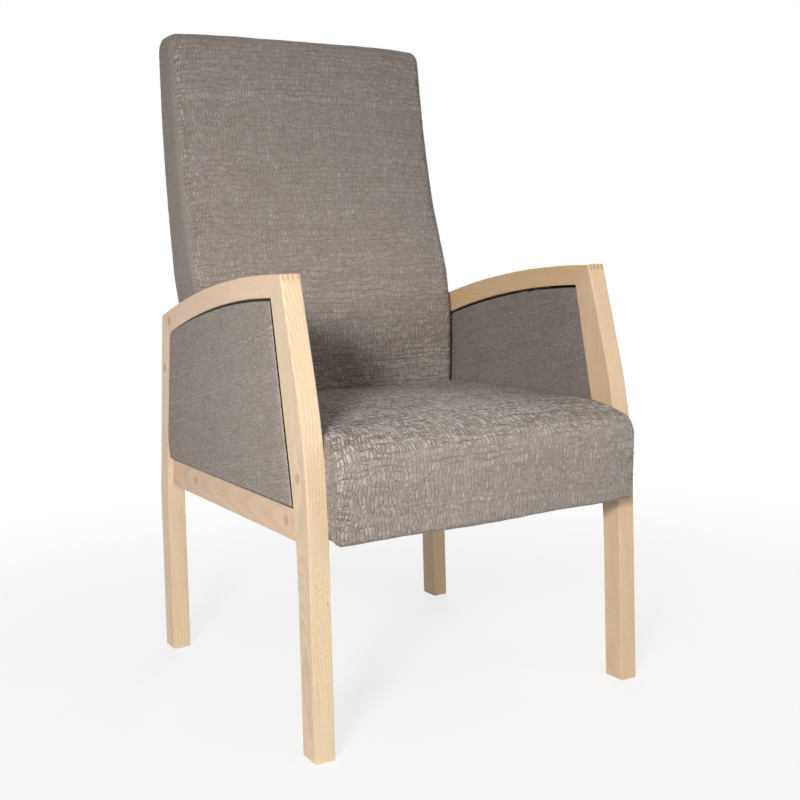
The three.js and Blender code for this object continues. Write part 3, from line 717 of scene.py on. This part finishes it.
def sew_panel(name, side, sheets, patch, rim):
    """Joins the two sheets of a panel over a rim between them that meets the frame."""
    nu, nv = patch.shape[:2]
    size = nu * nv
    border = grid_border(nu, nv)
    faces, weave = [], []

    def spot(i, j, shift):
        return patch[i, j, 0] * MM + PANEL_CUT + shift, patch[i, j, 1] * MM, 1.0

    def add(corners, marks):
        """A face that is turned round on the left side, where the panel is mirrored."""
        order = 1 if side > 0 else -1
        faces.append(corners[::order])
        weave.extend(marks[::order])

    for a, b, c, d in grid_rings(nu - 1, nv - 1):
        for layer, ring, shift in ((0, (a, d, c, b), 0.3 * side), (1, (b, c, d, a), 1.1 * side)):
            corners = [layer * size + i * nv + j for i, j in ring]
            add(corners, [spot(i, j, shift) for i, j in ring])
    shown = len(faces)
    for k, here in enumerate(border):
        following = (k + 1) % len(border)
        there = border[following]
        marks = [spot(*there, 0), spot(*here, 0), spot(*here, 0.007), spot(*there, 0.007)]
        at_here, at_there = here[0] * nv + here[1], there[0] * nv + there[1]
        rim_here, rim_there = 2 * size + k, 2 * size + following
        add([at_there, at_here, rim_here, rim_there], marks)
        add([rim_there, rim_here, size + at_here, size + at_there], marks)
    vertices = [*sheets[0].reshape(-1, 3), *sheets[1].reshape(-1, 3), *rim]
    panel = new_object(name, vertices, faces, weave)
    # The rim faces take the second material: a near-black painted shadow for the gap between the panel
    # and the frame.
    for polygon in panel.data.polygons[shown:]:
        polygon.material_index = 1
    return panel


panels = {name: side_panel(f"panel_{name}", side) for name, side in (("left", -1), ("right", 1))}

# Materials


class Value:
    """A number or a vector in a node tree. Numbers can be added, subtracted and multiplied."""

    def __init__(self, nodes, socket):
        self.nodes, self.socket = nodes, socket

    def __add__(self, other):
        return self.nodes.math("ADD", self, other)

    def __radd__(self, other):
        return self.nodes.math("ADD", other, self)

    def __sub__(self, other):
        return self.nodes.math("SUBTRACT", self, other)

    def __rsub__(self, other):
        return self.nodes.math("SUBTRACT", other, self)

    def __mul__(self, other):
        return self.nodes.math("MULTIPLY", self, other)


class Nodes:
    """A small builder for a node tree."""

    def __init__(self, tree):
        self.tree = tree
        tree.nodes.clear()

    def add(self, kind, inputs=None, **settings):
        """Adds a node with its settings, and puts a value into each of the inputs that are named."""
        node = self.tree.nodes.new("ShaderNode" + kind)
        for key, value in settings.items():
            setattr(node, key, value)
        for key, value in (inputs or {}).items():
            self.put(node.inputs[key], value)
        return node

    def put(self, socket, value):
        if isinstance(value, Value):
            self.tree.links.new(value.socket, socket)
        else:
            socket.default_value = value

    def out(self, node, key=0):
        return Value(self, node.outputs[key])

    def object_place(self):
        return self.out(self.add("TexCoord"), "Object")

    def cloth_place(self):
        return self.out(self.add("Attribute", attribute_name="weave"), "Vector")

    def math(self, operation, a, b=0.0, clamp=False):
        node = self.add("Math", {0: a, 1: b}, operation=operation, use_clamp=clamp)
        return self.out(node)

    def vector(self, operation, a, b=(0, 0, 0)):
        node = self.add("VectorMath", {0: a, 1: b}, operation=operation)
        return self.out(node, "Value" if operation in ("DOT_PRODUCT", "LENGTH") else 0)

    def split(self, whole, kind="SeparateXYZ"):
        node = self.add(kind, {0: whole})
        return [self.out(node, k) for k in range(3)]

    def join(self, *values):
        return self.out(self.add("CombineXYZ", dict(enumerate(values))))

    def noise_node(self, place, scale, detail=3.0, roughness=0.5):
        values = {"Vector": place, "Scale": scale, "Detail": detail, "Roughness": roughness}
        return self.add("TexNoise", values)

    def noise(self, *settings):
        return self.out(self.noise_node(*settings))

    def voronoi(self, feature, dimensions, place, scale, randomness):
        way = "W" if dimensions == "1D" else "Vector"
        values = {way: place, "Scale": scale, "Randomness": randomness}
        settings = {"feature": feature, "voronoi_dimensions": dimensions}
        return self.add("TexVoronoi", values, **settings)

    def picks(self, cells):
        """Three random numbers for each cell of a Voronoi node."""
        return self.split(self.out(cells, "Color"), "SeparateColor")

    def band(self, value, low, high, to_low=0.0, to_high=1.0):
        """A smooth step from to_low to to_high, while the value goes from low to high."""
        limits = {"From Min": low, "From Max": high, "To Min": to_low, "To Max": to_high}
        node = self.add("MapRange", {"Value": value, **limits},
                        interpolation_type="SMOOTHSTEP")
        return self.out(node)

    def mix(self, share, a, b):
        node = self.add("Mix", {"Factor": share, 6: a, 7: b}, data_type="RGBA")
        return self.out(node, 2)

    def bump(self, height, distance, strength):
        values = {"Strength": strength, "Distance": distance, "Height": height}
        return self.out(self.add("Bump", values))

    def seen_rays(self):
        """1 for what the camera sees, also in metal and through glass, and 0 for other light."""
        path = self.add("LightPath")
        rays = [self.out(path, f"Is {kind} Ray") for kind in ("Camera", "Glossy", "Transmission")]
        return self.math("MAXIMUM", self.math("MAXIMUM", rays[0], rays[1]), rays[2])

    def blend(self, share, first, second, output):
        """Mixes the shaders of two nodes into an output node."""
        shaders = {"Fac": share, 1: self.out(first), 2: self.out(second)}
        self.put(output.inputs["Surface"], self.out(self.add("MixShader", shaders)))


class Material(Nodes):
    """The node tree of one material."""

    def __init__(self, name):
        self.material = bpy.data.materials.new(name)
        self.material.use_nodes = True
        super().__init__(self.material.node_tree)
        self.shader = self.add("BsdfPrincipled")
        self.output = self.add("OutputMaterial", {"Surface": self.out(self.shader)})

    def setup(self, **values):
        for key, value in values.items():
            self.put(self.shader.inputs[key.replace("_", " ")], value)
        return self.material


def srgb(r, g, b):
    def channel(c):
        c /= 255
        return c / 12.92 if c <= 0.04045 else ((c + 0.055) / 1.055) ** 2.4

    return (channel(r), channel(g), channel(b), 1.0)


def tinted(colours, tint):
    return [srgb(*(c * t for c, t in zip(colour, tint))) for colour in colours]


# Beech

RING = 0.0056
BEECH_SHADES = ((243, 223, 191), (222, 195, 158), (186, 153, 113), (226, 200, 176))
CRACK_COLOUR = (156, 130, 116)
CRACK_BELOW, CRACK_ABOVE = 0.15, 0.07
ARCH_BEND = 148.0


class Wood(Material):
    """The places and the figure in a piece of wood, where a and b lie across the grain."""

    def __init__(self, name, grain, centre, seed):
        super().__init__(name)
        self.place = self.object_place()
        axes, self.grain_way = {"y": ((0, 2, 1), (0, 1, 0)), "z": ((0, 1, 2), (0, 0, 1))}[grain]
        parts = self.split(self.vector("SUBTRACT", self.place, tuple(centre)))
        self.a, self.b, self.along = (parts[k] for k in axes)
        self.seed = seed
        self.wander = self.noise(self.stretched(0.34), 13.0, 2.0, 0.45)
        self.ripple = self.noise(self.stretched(0.30), 60.0, 2.0, 0.5)

    def stretched(self, share):
        """The place in the wood, drawn out along the grain."""
        return self.join(self.a + self.seed, self.b, self.along * share)

    def swayed(self, value, wide, fine):
        return value + (self.wander - 0.5) * wide + (self.ripple - 0.5) * fine

    def radius(self, pith):
        from_pith = self.join(self.a + pith[0], self.b + pith[1], self.along * 0.07)
        return self.swayed(self.vector("LENGTH", from_pith), 0.034, 0.004)

    def crack(self, radius, at, across):
        """The rings' radius bent towards a short crack, and where the crack is."""
        beyond = self.vector("DOT_PRODUCT", self.vector("SUBTRACT", self.place, at), across)
        beyond = beyond + (self.ripple - 0.5) * 0.004
        below = self.math("SUBTRACT", 1.0, beyond * (-1 / CRACK_BELOW), clamp=True)
        above = self.math("SUBTRACT", 1.0, beyond * (1 / CRACK_ABOVE), clamp=True)
        under = self.math("LESS_THAN", beyond, 0.0)
        lean = self.math("POWER", below, 2.0) * under * 0.024
        over = self.math("POWER", above, 2.0) * (1.0 - under) * 0.012
        line = self.band(self.math("ABSOLUTE", beyond), 0.0017, 0.0002)
        speck = self.noise(self.place, 260.0, 2.0)
        return radius + (lean - over), line * self.band(speck, 0.46, 0.66)

    def late_wood(self, radius):
        """How dark the growth rings are."""
        ring = self.math("FRACT", radius * (1 / RING))
        late = self.band(ring, 0.45, 0.94) * self.band(ring, 1.0, 0.955)
        fade = self.noise(self.stretched(0.2), 22.0, 2.0, 0.5)
        return late * self.band(fade, 0.35, 0.65, 0.25, 1.0)

    def arches(self, start, pitch):
        """Nested arches of figure on a face that the saw cut along the rings."""
        arch = (self.math("POWER", self.b, 2.0) * ARCH_BEND + self.along) * (1 / pitch)
        step = self.math("FRACT", self.swayed(arch - start, 0.7, 0.12))
        return self.band(step, 1.0, 0.93) * self.band(step, 0.25, 0.93)

    def end_grain(self):
        facing = self.out(self.add("NewGeometry"), "True Normal")
        along = self.math("ABSOLUTE", self.vector("DOT_PRODUCT", facing, self.grain_way))
        return self.band(along, 0.72, 0.86)


def wood(name, grain, centre, seed, tint, pith=(0.08, 0.035), rings=1.0, figure=None,
         fissure=None, stains=()):
    """Pale lacquered beech: growth rings round a pith that lies off the piece, fibres and specks.

    figure is where nested arches start and their pitch, fissure a short crack as its middle and
    its direction, and stains the places where filler round a plug has darkened the wood.
    """
    n = Wood(name, grain, centre, seed)
    radius = n.radius(pith)
    if fissure:
        radius, crack = n.crack(radius, *fissure)
    late = n.late_wood(radius)
    fibre = n.noise(n.stretched(0.04), 460.0, 3.0, 0.65)
    hair = n.noise(n.stretched(0.04), 1250.0, 2.0, 0.6)
    broad = n.noise(n.stretched(0.2), 34.0, 3.0, 0.5)
    fleck = n.band(n.noise(n.stretched(0.12), 900.0, 1.0, 0.4), 0.66, 0.76)
    speckle = n.noise(n.stretched(0.7), 400.0, 2.0, 0.7)
    light, deep, brown, pink = tinted(BEECH_SHADES, tint)
    layers = [(n.band(broad, 0.3, 0.72, 0.0, 0.45), deep)]
    layers += [(late * (0.46 * rings), deep), (late * (0.18 * rings), brown)]
    if figure:
        edge = n.arches(*figure)
        layers += [(edge * 0.62, deep), (edge * 0.12, brown)]
    layers += [
        (n.band(speckle, 0.49, 0.60, 0.0, 0.80), pink),
        (n.band(speckle, 0.51, 0.38, 0.0, 0.85), deep),
        (n.band(fibre, 0.46, 0.72, 0.0, 0.30), deep),
        (n.band(hair, 0.56, 0.72, 0.0, 0.22), brown),
        (fleck * 0.28, brown),
    ]
    if fissure:
        layers.append((crack * 0.7, srgb(*CRACK_COLOUR)))
    for spot in stains:
        off = n.vector("LENGTH", n.vector("SUBTRACT", n.place, tuple(spot)))
        layers.append((n.band(off, 0.0088, 0.0062, 0.0, 0.45), brown))
    layers.append((n.end_grain() * 0.55, brown))
    colour = light
    for share, shade in layers:
        colour = n.mix(share, colour, shade)
    return n.setup(
        Base_Color=colour,
        Roughness=n.band(fibre, 0.2, 0.8, 0.38, 0.50),
        Normal=n.bump(fibre * 0.5 + late * 0.3 - fleck * 0.6, 0.00012, 0.35),
        Specular_IOR_Level=0.40,
        Coat_Weight=0.12,
        Coat_Roughness=0.30,
    )


# Cloth

CELL_ROW, CELL_COLUMN, CELL_SMALL = 0.0100, 0.0063, 0.0050
BLOCK_WIDTH, BLOCK_HEIGHT = 0.034, 0.017
HATCH, THREAD = 0.0030, 0.0007
# The first and deepest shade is the cloth's colour in shadow: a painted shade that the grooves reach
# where the relief is raised.
CLOTH_SHADES = ((84, 72, 62), (124, 114, 103), (158, 149, 142), (192, 185, 180))


class Cloth(Material):
    """The cells of a woven cloth. size scales them, and turn is their slant in degrees.

    The mesh's weave attribute holds a place on the cloth in its first two numbers, and in the
    third how strongly the weave stands out there.
    """

    def __init__(self, name, size, contrast, turn):
        super().__init__(name)
        self.size = size
        stored = self.cloth_place()
        self.relief = self.split(stored)[2] * contrast
        self.weave = self.vector("MULTIPLY", stored, (1, 1, 0))
        if turn:
            slant = {"Vector": self.weave, "Angle": math.radians(turn)}
            node = self.add("VectorRotate", slant, rotation_type="Z_AXIS")
            self.weave = self.out(node)
        drift = self.noise_node(self.weave, 26.0 / size, 1.5)
        shiver = self.noise_node(self.weave, 150.0 / size, 2.0)
        self.clumps = self.out(shiver)
        place = self.weave
        for node, amount in ((drift, (0.009, 0.013, 0)), (shiver, (0.003, 0.0034, 0))):
            off = self.vector("SUBTRACT", self.out(node, "Color"), (0.5, 0.5, 0.5))
            place = self.vector("ADD", place, self.vector("MULTIPLY", off, amount))
        self.across, self.along, _ = self.split(place)

    def waves(self, place, pitch):
        return self.math("SINE", place * (TURN / pitch))

    def lines(self, place, pitch, shift, width):
        """Uneven lines along one direction: how deep each is, and random numbers per stripe."""
        pitch = pitch * self.size
        at = place * (1 / pitch) + shift * 91.7
        stripe = self.voronoi("F1", "1D", at, 1.0, 0.8)
        edge = self.voronoi("DISTANCE_TO_EDGE", "1D", at, 1.0, 0.8)
        reach = width / pitch
        return self.band(self.out(edge, "Distance"), reach, 0.1 * reach), self.picks(stripe)

    def cells(self, rows):
        """The grooves between the cells, and the random numbers of rows, columns and cells."""
        blocks = self.vector("MULTIPLY", self.weave, (1 / BLOCK_WIDTH, 1 / BLOCK_HEIGHT, 0))
        block_pick = self.picks(self.voronoi("F1", "2D", blocks, 1 / self.size, 1.0))[0]
        shift = self.band(block_pick, 0.62, 0.63, 0.0, 0.0065)
        row, row_picks = self.lines(self.along, CELL_ROW, shift, 0.0021)
        shift = row_picks[0] + block_pick * 0.3
        column, column_picks = self.lines(self.across, CELL_COLUMN, shift, 0.0019)
        small, small_picks = self.lines(self.along, CELL_SMALL, column_picks[0], 0.0016)
        patches = self.noise(self.weave, 24.0 / self.size, 2.0)
        row = row * self.band(row_picks[1], 0.0, 1.0, 0.55, 1.0)
        row = row * self.band(patches, 0.40, 0.58, rows, 1.0)
        column = column * self.band(column_picks[1], 0.0, 1.0, 0.45, 1.0)
        small = small * self.band(column_picks[2], 0.45, 0.8, 0.0, 0.8)
        groove = self.math("MAXIMUM", row * 0.95, column * 0.9)
        groove = self.math("MAXIMUM", groove, small * 0.7)
        return groove, row_picks, column_picks, small_picks


def upholstery(name, tint=1.0, size=1.0, contrast=1.0, turn=0.0, rows=0.85, picks=0.0, yarns=0.75):
    """Taupe cloth woven with uneven blocks: satin cells between matt olive grooves.

    rows is how deep the grooves between rows stay where they fade, picks how much the cells
    differ in tone, and yarns how much single yarns do.
    """
    n = Cloth(name, size, contrast, turn)
    groove, row_picks, column_picks, small_picks = n.cells(rows)
    hatch = n.waves(n.across, HATCH * size) * n.band(column_picks[0], 0.3, 0.6)
    fuzz = n.noise(n.weave, 1500.0, 2.0, 0.6)
    yarn = n.noise(n.weave, 420.0, 2.0, 0.65)
    mottled = n.noise(n.weave, 17.0, 3.0, 0.55)
    # Each shade is a value, its middle and how much it counts
    pattern = (
        (groove, 0.25, -0.46),
        (hatch, 0.0, 0.10),
        (small_picks[1], 0.5, 0.30 + picks / 4),
        (row_picks[1], 0.5, 0.12),
        (column_picks[1], 0.5, picks),
        (mottled, 0.5, 0.24),
    )
    grain = ((fuzz, 0.5, 0.30), (yarn, 0.5, yarns))
    pressed = ((n.clumps, 0.5, 0.6),)
    # The relief scales the colour contrast, so where the meshes raise it the grooves paint shade and
    # the cells paint glints.
    level = 0.5
    for shades, strength in (
        (pattern, n.relief),
        (grain, n.math("MINIMUM", n.relief, 1.2)),
        (pressed, n.band(n.relief, 1.3, 2.2)),
    ):
        level = level + sum((value - middle) * amount for value, middle, amount in shades) * strength
    deep, dark, mid, pale = tinted(CLOTH_SHADES, (tint, tint, tint))
    colour = n.mix(n.band(level, -0.5, 0.0), deep, dark)
    colour = n.mix(n.band(level, 0.0, 0.5), colour, mid)
    colour = n.mix(n.band(level, 0.5, 1.0), colour, pale)
    threads = n.waves(n.across, THREAD) * n.waves(n.along, THREAD)
    height = (1.0 - groove) * n.relief + threads * 0.06 + hatch * 0.10 + fuzz * 0.20
    return n.setup(
        Base_Color=colour,
        Roughness=n.band(groove, 0.0, 1.0, 0.50, 0.92),
        Normal=n.bump(height, 0.0011, 0.9),
        Specular_IOR_Level=0.12,
        Sheen_Weight=0.06,
        Sheen_Roughness=0.45,
        Sheen_Tint=(0.86, 0.84, 0.82, 1.0),
    )


def lining(name):
    """Thin black non-woven lining with small pressed dimples."""
    n = Material(name)
    weave = n.cloth_place()
    dimples = n.voronoi("F1", "2D", weave, 520.0, 0.25)
    dimple = n.band(n.out(dimples, "Distance"), 0.15, 0.42)
    fuzz = n.noise(weave, 900.0, 3.0, 0.6)
    return n.setup(
        Base_Color=n.mix(dimple * fuzz, srgb(26, 26, 28), srgb(52, 52, 55)),
        Roughness=n.band(fuzz, 0.2, 0.8, 0.82, 0.94),
        Normal=n.bump(dimple * 0.8, 0.0003, 0.6),
    )


def plain(name, base, speck, scale, roughness, metallic=0.0):
    """A plain material with fine variation, for what is mostly out of sight, and for the near-black
    painted shadow in the gap round each side panel.
    """
    n = Material(name)
    grain = n.noise(n.object_place(), scale, 4.0, 0.6)
    return n.setup(
        Base_Color=n.mix(n.band(grain, 0.3, 0.7), srgb(*base), srgb(*speck)),
        Roughness=n.band(grain, 0.2, 0.8, roughness - 0.06, roughness + 0.06),
        Normal=n.bump(grain, 0.0002, 0.3),
        Metallic=metallic,
    )


def set_material(thing, material):
    slots = thing.data.materials
    if slots:
        slots[0] = material
    else:
        slots.append(material)


def read_numbers(items, key, width):
    """One property of all the items of a mesh, as an array with a row for each."""
    out = np.zeros(len(items) * width)
    items.foreach_get(key, out)
    return out.reshape(-1, width)


def flat_regions(corners, normals):
    """For each face the number of the flat region it belongs to."""
    region = list(range(len(corners)))

    def root(i):
        while region[i] != i:
            region[i] = region[region[i]]
            i = region[i]
        return i

    at_edge = {}
    for i, ring in enumerate(corners):
        for k, key in enumerate(ring):
            at_edge.setdefault(frozenset((key, ring[k - 1])), []).append(i)
    for pair in at_edge.values():
        if len(pair) == 2 and normals[pair[0]] @ normals[pair[1]] > 0.99999:
            region[root(pair[0])] = root(pair[1])
    return [root(i) for i in range(len(corners))]


def shade_smooth(node, sharp=42.0):
    """Shades a faceted CAD mesh: large flat faces stay flat and the narrow facets between them blend.

    Each corner takes the normal of the faces that meet there within the sharp angle, weighted by
    the area of the whole flat region that each face belongs to. No vertex moves.
    """
    mesh = node.data
    normals = read_numbers(mesh.polygons, "normal", 3)
    areas = read_numbers(mesh.polygons, "area", 1)[:, 0]
    places = read_numbers(mesh.vertices, "co", 3)
    keys = [tuple(k) for k in np.round(places * 1e5).astype(int)]
    corners = [[keys[v] for v in polygon.vertices] for polygon in mesh.polygons]
    at_corner = {}
    for i, ring in enumerate(corners):
        for key in ring:
            at_corner.setdefault(key, []).append(i)
    regions = flat_regions(corners, normals)
    weights = np.bincount(regions, weights=areas, minlength=len(areas))[regions] ** 1.5
    least = math.cos(math.radians(sharp))
    custom = []
    for i, ring in enumerate(corners):
        for key in ring:
            near = {regions[j]: j for j in at_corner[key] if normals[j] @ normals[i] > least}
            total = sum(normals[j] * weights[j] for j in near.values())
            custom.append(tuple(unit(total)))
    if "custom_normal" in mesh.attributes:
        mesh.attributes.remove(mesh.attributes["custom_normal"])
    mesh.polygons.foreach_set("use_smooth", [True] * len(areas))
    mesh.normals_split_custom_set(custom)


# What each piece is made of

HIDDEN = {
    "carcass": wood("carcass_pine", "y", (0.0, 0.0, 0.0), 5.3, (0.93, 0.92, 0.88)),
    "panel_ply": plain("panel_ply", (196, 165, 118), (176, 142, 96), 90.0, 0.75),
    "wadding": plain("upholstery_foam", (232, 222, 184), (220, 208, 168), 300.0, 0.9),
    "webbing": plain("webbing", (52, 54, 58), (38, 40, 44), 500.0, 0.85),
    "bolt_steel": plain("bolt_steel", (160, 160, 164), (140, 141, 146), 200.0, 0.35, 1.0),
    "plug_beech": wood("plug_beech", "z", (0.0, 0.0, 0.0), 4.1, (0.87, 0.825, 0.75), rings=0.3),
}
plug_spots = {"left": [], "right": []}
for subpart in frame["record"]["subparts"]:
    slot = subpart["material_slot"]
    if slot in HIDDEN:
        set_material(frame["nodes"][subpart["node"]], HIDDEN[slot])
    if slot == "plug_beech":
        shade_smooth(frame["nodes"][subpart["node"]])
        low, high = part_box(subpart["node"])
        side, outside = ("left", low.x) if low.x < 0 else ("right", high.x)
        middle = (low + high) / 2
        plug_spots[side].append(Vector((outside, middle.y, middle.z)))


def beech(node_name, grain, seed, tint, pith, centre=None, **more):
    """Dresses a piece of a side frame, with stains round the plugs that are let into it."""
    low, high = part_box(node_name)
    centre = (low + high) / 2 if centre is None else centre
    near = plug_spots["left" if high.x < 0 else "right"]
    stains = [s for s in near if low.y < s.y < high.y and low.z < s.z < high.z]
    material = wood(f"beech_{node_name}", grain, centre, seed, tint, pith, stains=stains, **more)
    set_material(frame["nodes"][node_name], material)
    shade_smooth(frame["nodes"][node_name])


leg_fissure = (metres((-273.5, 0.0, 236.6)), unit(np.array((51.2, 0.0, 32.9))))
rail_centre = metres((-288.0, 94.0, 322.0))
beech("front_leg_left", "z", 0.31, (0.965, 0.967, 0.952), (0.060, 0.030), rings=1.5,
      fissure=leg_fissure)
beech("front_leg_right", "z", 1.27, (0.951, 0.929, 0.897), (0.075, 0.020), rings=1.1)
beech("rear_leg_left", "z", 2.13, (1.03, 1.02, 1.01), (0.065, 0.040), rings=1.0)
# The right rear leg's tint is paler than the other pieces' to make up for the shade it stands in:
# painted light.
beech("rear_leg_right", "z", 3.41, (1.045, 1.025, 0.985), (0.085, 0.030), rings=0.6)
beech("arm_left", "y", 0.77, (1.0, 0.973, 0.955), (0.055, 0.020), rings=0.2)
beech("arm_right", "y", 1.91, (0.945, 0.895, 0.825), (0.070, 0.030), rings=0.8)
beech("side_rail_left", "y", 2.57, (0.985, 0.945, 0.93), (0.09, 0.004), centre=rail_centre,
      rings=0.15, figure=(0.47, -0.087))
beech("side_rail_right", "y", 3.83, (0.955, 0.93, 0.91), (0.040, 0.010), rings=0.5)

set_material(seat, upholstery("seat_cloth", rows=0.35, picks=0.16))
back_cloth = upholstery("back_cloth", yarns=0.55)
set_material(back, back_cloth)
set_material(outside_back, back_cloth)
set_material(dust_cover, lining("dust_lining"))
# Near-black painted shadow on the panel rims, standing for the shade in the gaps under the arms and
# along the rails.
panel_edge = plain("panel_rim_painted_shadow", (30, 22, 17), (22, 16, 13), 700.0, 0.92)
# The right panel's cloth is a darker copy and the left's a paler copy of one cloth: painted shade on
# the right panel's inner face, painted light on the left panel's outer face.
for name, tint, contrast in (("left", 1.06, 0.95), ("right", 0.90, 1.1)):
    set_material(panels[name], upholstery(f"panel_cloth_{name}", tint, 0.55, contrast, 12.0))
    panels[name].data.materials.append(panel_edge)

# What each piece stands for, and what carries it

REPLACED = [
    (seat, "upholstery", ["seat_cover", "seat_foam"], 0.9),
    (back, "upholstery", ["back_cover", "back_foam"], 0.9),
    (outside_back, "upholstery", ["outside_back"], 0.9),
    (panels["left"], "upholstery", ["panel_cover_left", "panel_padding_left"], 0.8),
    (panels["right"], "upholstery", ["panel_cover_right", "panel_padding_right"], 0.8),
]
for piece, slot, nodes, fill in REPLACED:
    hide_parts(*nodes)
    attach(piece, "root")
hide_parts("seat_dust_cover")
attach(dust_cover, "root")

# Floor, camera and light

FLOOR_HALF = 60.0
WHITE = (1, 1, 1, 1)


def add_floor():
    """A pale floor that keeps the shadow near the chair and turns to white further off."""
    half = FLOOR_HALF
    corners = [(-half, -half, 0), (half, -half, 0), (half, half, 0), (-half, half, 0)]
    mesh = bpy.data.meshes.new("floor")
    mesh.from_pydata(corners, [], [(0, 1, 2, 3)])
    floor = place_object("floor", mesh)
    n = Material("pale_floor")
    far = n.band(n.vector("LENGTH", n.object_place()), 0.3, 1.7, 0.78, 1.0)
    white = n.add("Emission", {"Color": WHITE})
    n.blend(far * n.seen_rays(), n.shader, white, n.output)
    set_material(floor, n.setup(Base_Color=srgb(240, 240, 240), Roughness=0.9))


# The camera's place is in the CAD source's millimetres, its angles are in degrees, and its focal
# length and centre are in pixels of a square picture
CAMERA_AT = (-948.4, -1400.4, 690.6)
AZIMUTH, PITCH, ROLL = -31.38, 3.41, -1.41
FOCAL, CENTRE_X, CENTRE_Y = 1159.97, 425.89, 323.31
FRAME_WIDTH = 800
SENSOR = 36.0


def add_camera():
    az, pitch, roll = (math.radians(a) for a in (AZIMUTH, PITCH, ROLL))
    level = math.cos(pitch)
    forward = Vector((-math.sin(az) * level, math.cos(az) * level, -math.sin(pitch)))
    right = forward.cross(Vector((0, 0, 1))).normalized()
    up = right.cross(forward)
    rolled_right = right * math.cos(roll) + up * math.sin(roll)
    rolled_up = up * math.cos(roll) - right * math.sin(roll)
    data = bpy.data.cameras.new("camera")
    data.sensor_width = SENSOR
    data.sensor_fit = "HORIZONTAL"
    data.lens = FOCAL / FRAME_WIDTH * SENSOR
    data.shift_x = (FRAME_WIDTH / 2 - CENTRE_X) / FRAME_WIDTH
    data.shift_y = (CENTRE_Y - FRAME_WIDTH / 2) / FRAME_WIDTH
    data.clip_start = 0.05
    camera = place_object("camera", data)
    axes = Matrix((rolled_right, rolled_up, -forward)).transposed().to_4x4()
    axes.translation = Vector(metres(CAMERA_AT))
    camera.matrix_world = axes
    bpy.context.scene.camera = camera


WARM_WHITE = (1.0, 0.985, 0.97)
# Name, place, target, size, power in watts and spread in degrees
LIGHTS = (
    ("key", (-1.72, -1.90, 1.25), (-0.05, -0.15, 0.40), 0.45, 11.8, 80),
    ("right", (1.30, -2.10, 1.10), (0.1, -0.15, 0.30), 0.8, 2.0, 80),
    ("overhead", (-0.9, -0.5, 2.6), (0.0, -0.1, 0.4), 0.6, 0.6, 60),
    ("front", (0.2, -1.5, 2.3), (0.0, -0.3, 0.4), 0.7, 1.2, 60),
    ("side", (-1.7, 1.9, 0.8), (0, 0.1, 0.3), 1.0, 2.4, 180),
    ("rear", (1.5, 2.2, 2.0), (0, 0, 0.6), 1.4, 29, 180),
)


def add_light(name, place, target, size, power, spread):
    data = bpy.data.lights.new(name, "AREA")
    data.shape = "SQUARE"
    data.size = size
    data.spread = math.radians(spread)
    data.energy = power
    data.color = WARM_WHITE
    light = place_object(name, data)
    light.location = place
    light.rotation_euler = (Vector(target) - Vector(place)).to_track_quat("-Z", "Y").to_euler()


def add_world():
    """White to the camera, and almost dark as a light."""
    world = bpy.data.worlds.new("studio")
    bpy.context.scene.world = world
    world.use_nodes = True
    n = Nodes(world.node_tree)
    lit = n.add("Background", {"Color": (1.0, 0.97, 0.94, 1), "Strength": 0.03})
    white = n.add("Background", {"Color": WHITE, "Strength": 1.0})
    n.blend(n.seen_rays(), lit, white, n.add("OutputWorld"))


add_floor()
add_camera()
for light_setting in LIGHTS:
    add_light(*light_setting)
add_world()
bpy.context.scene.view_settings.view_transform = "Standard"
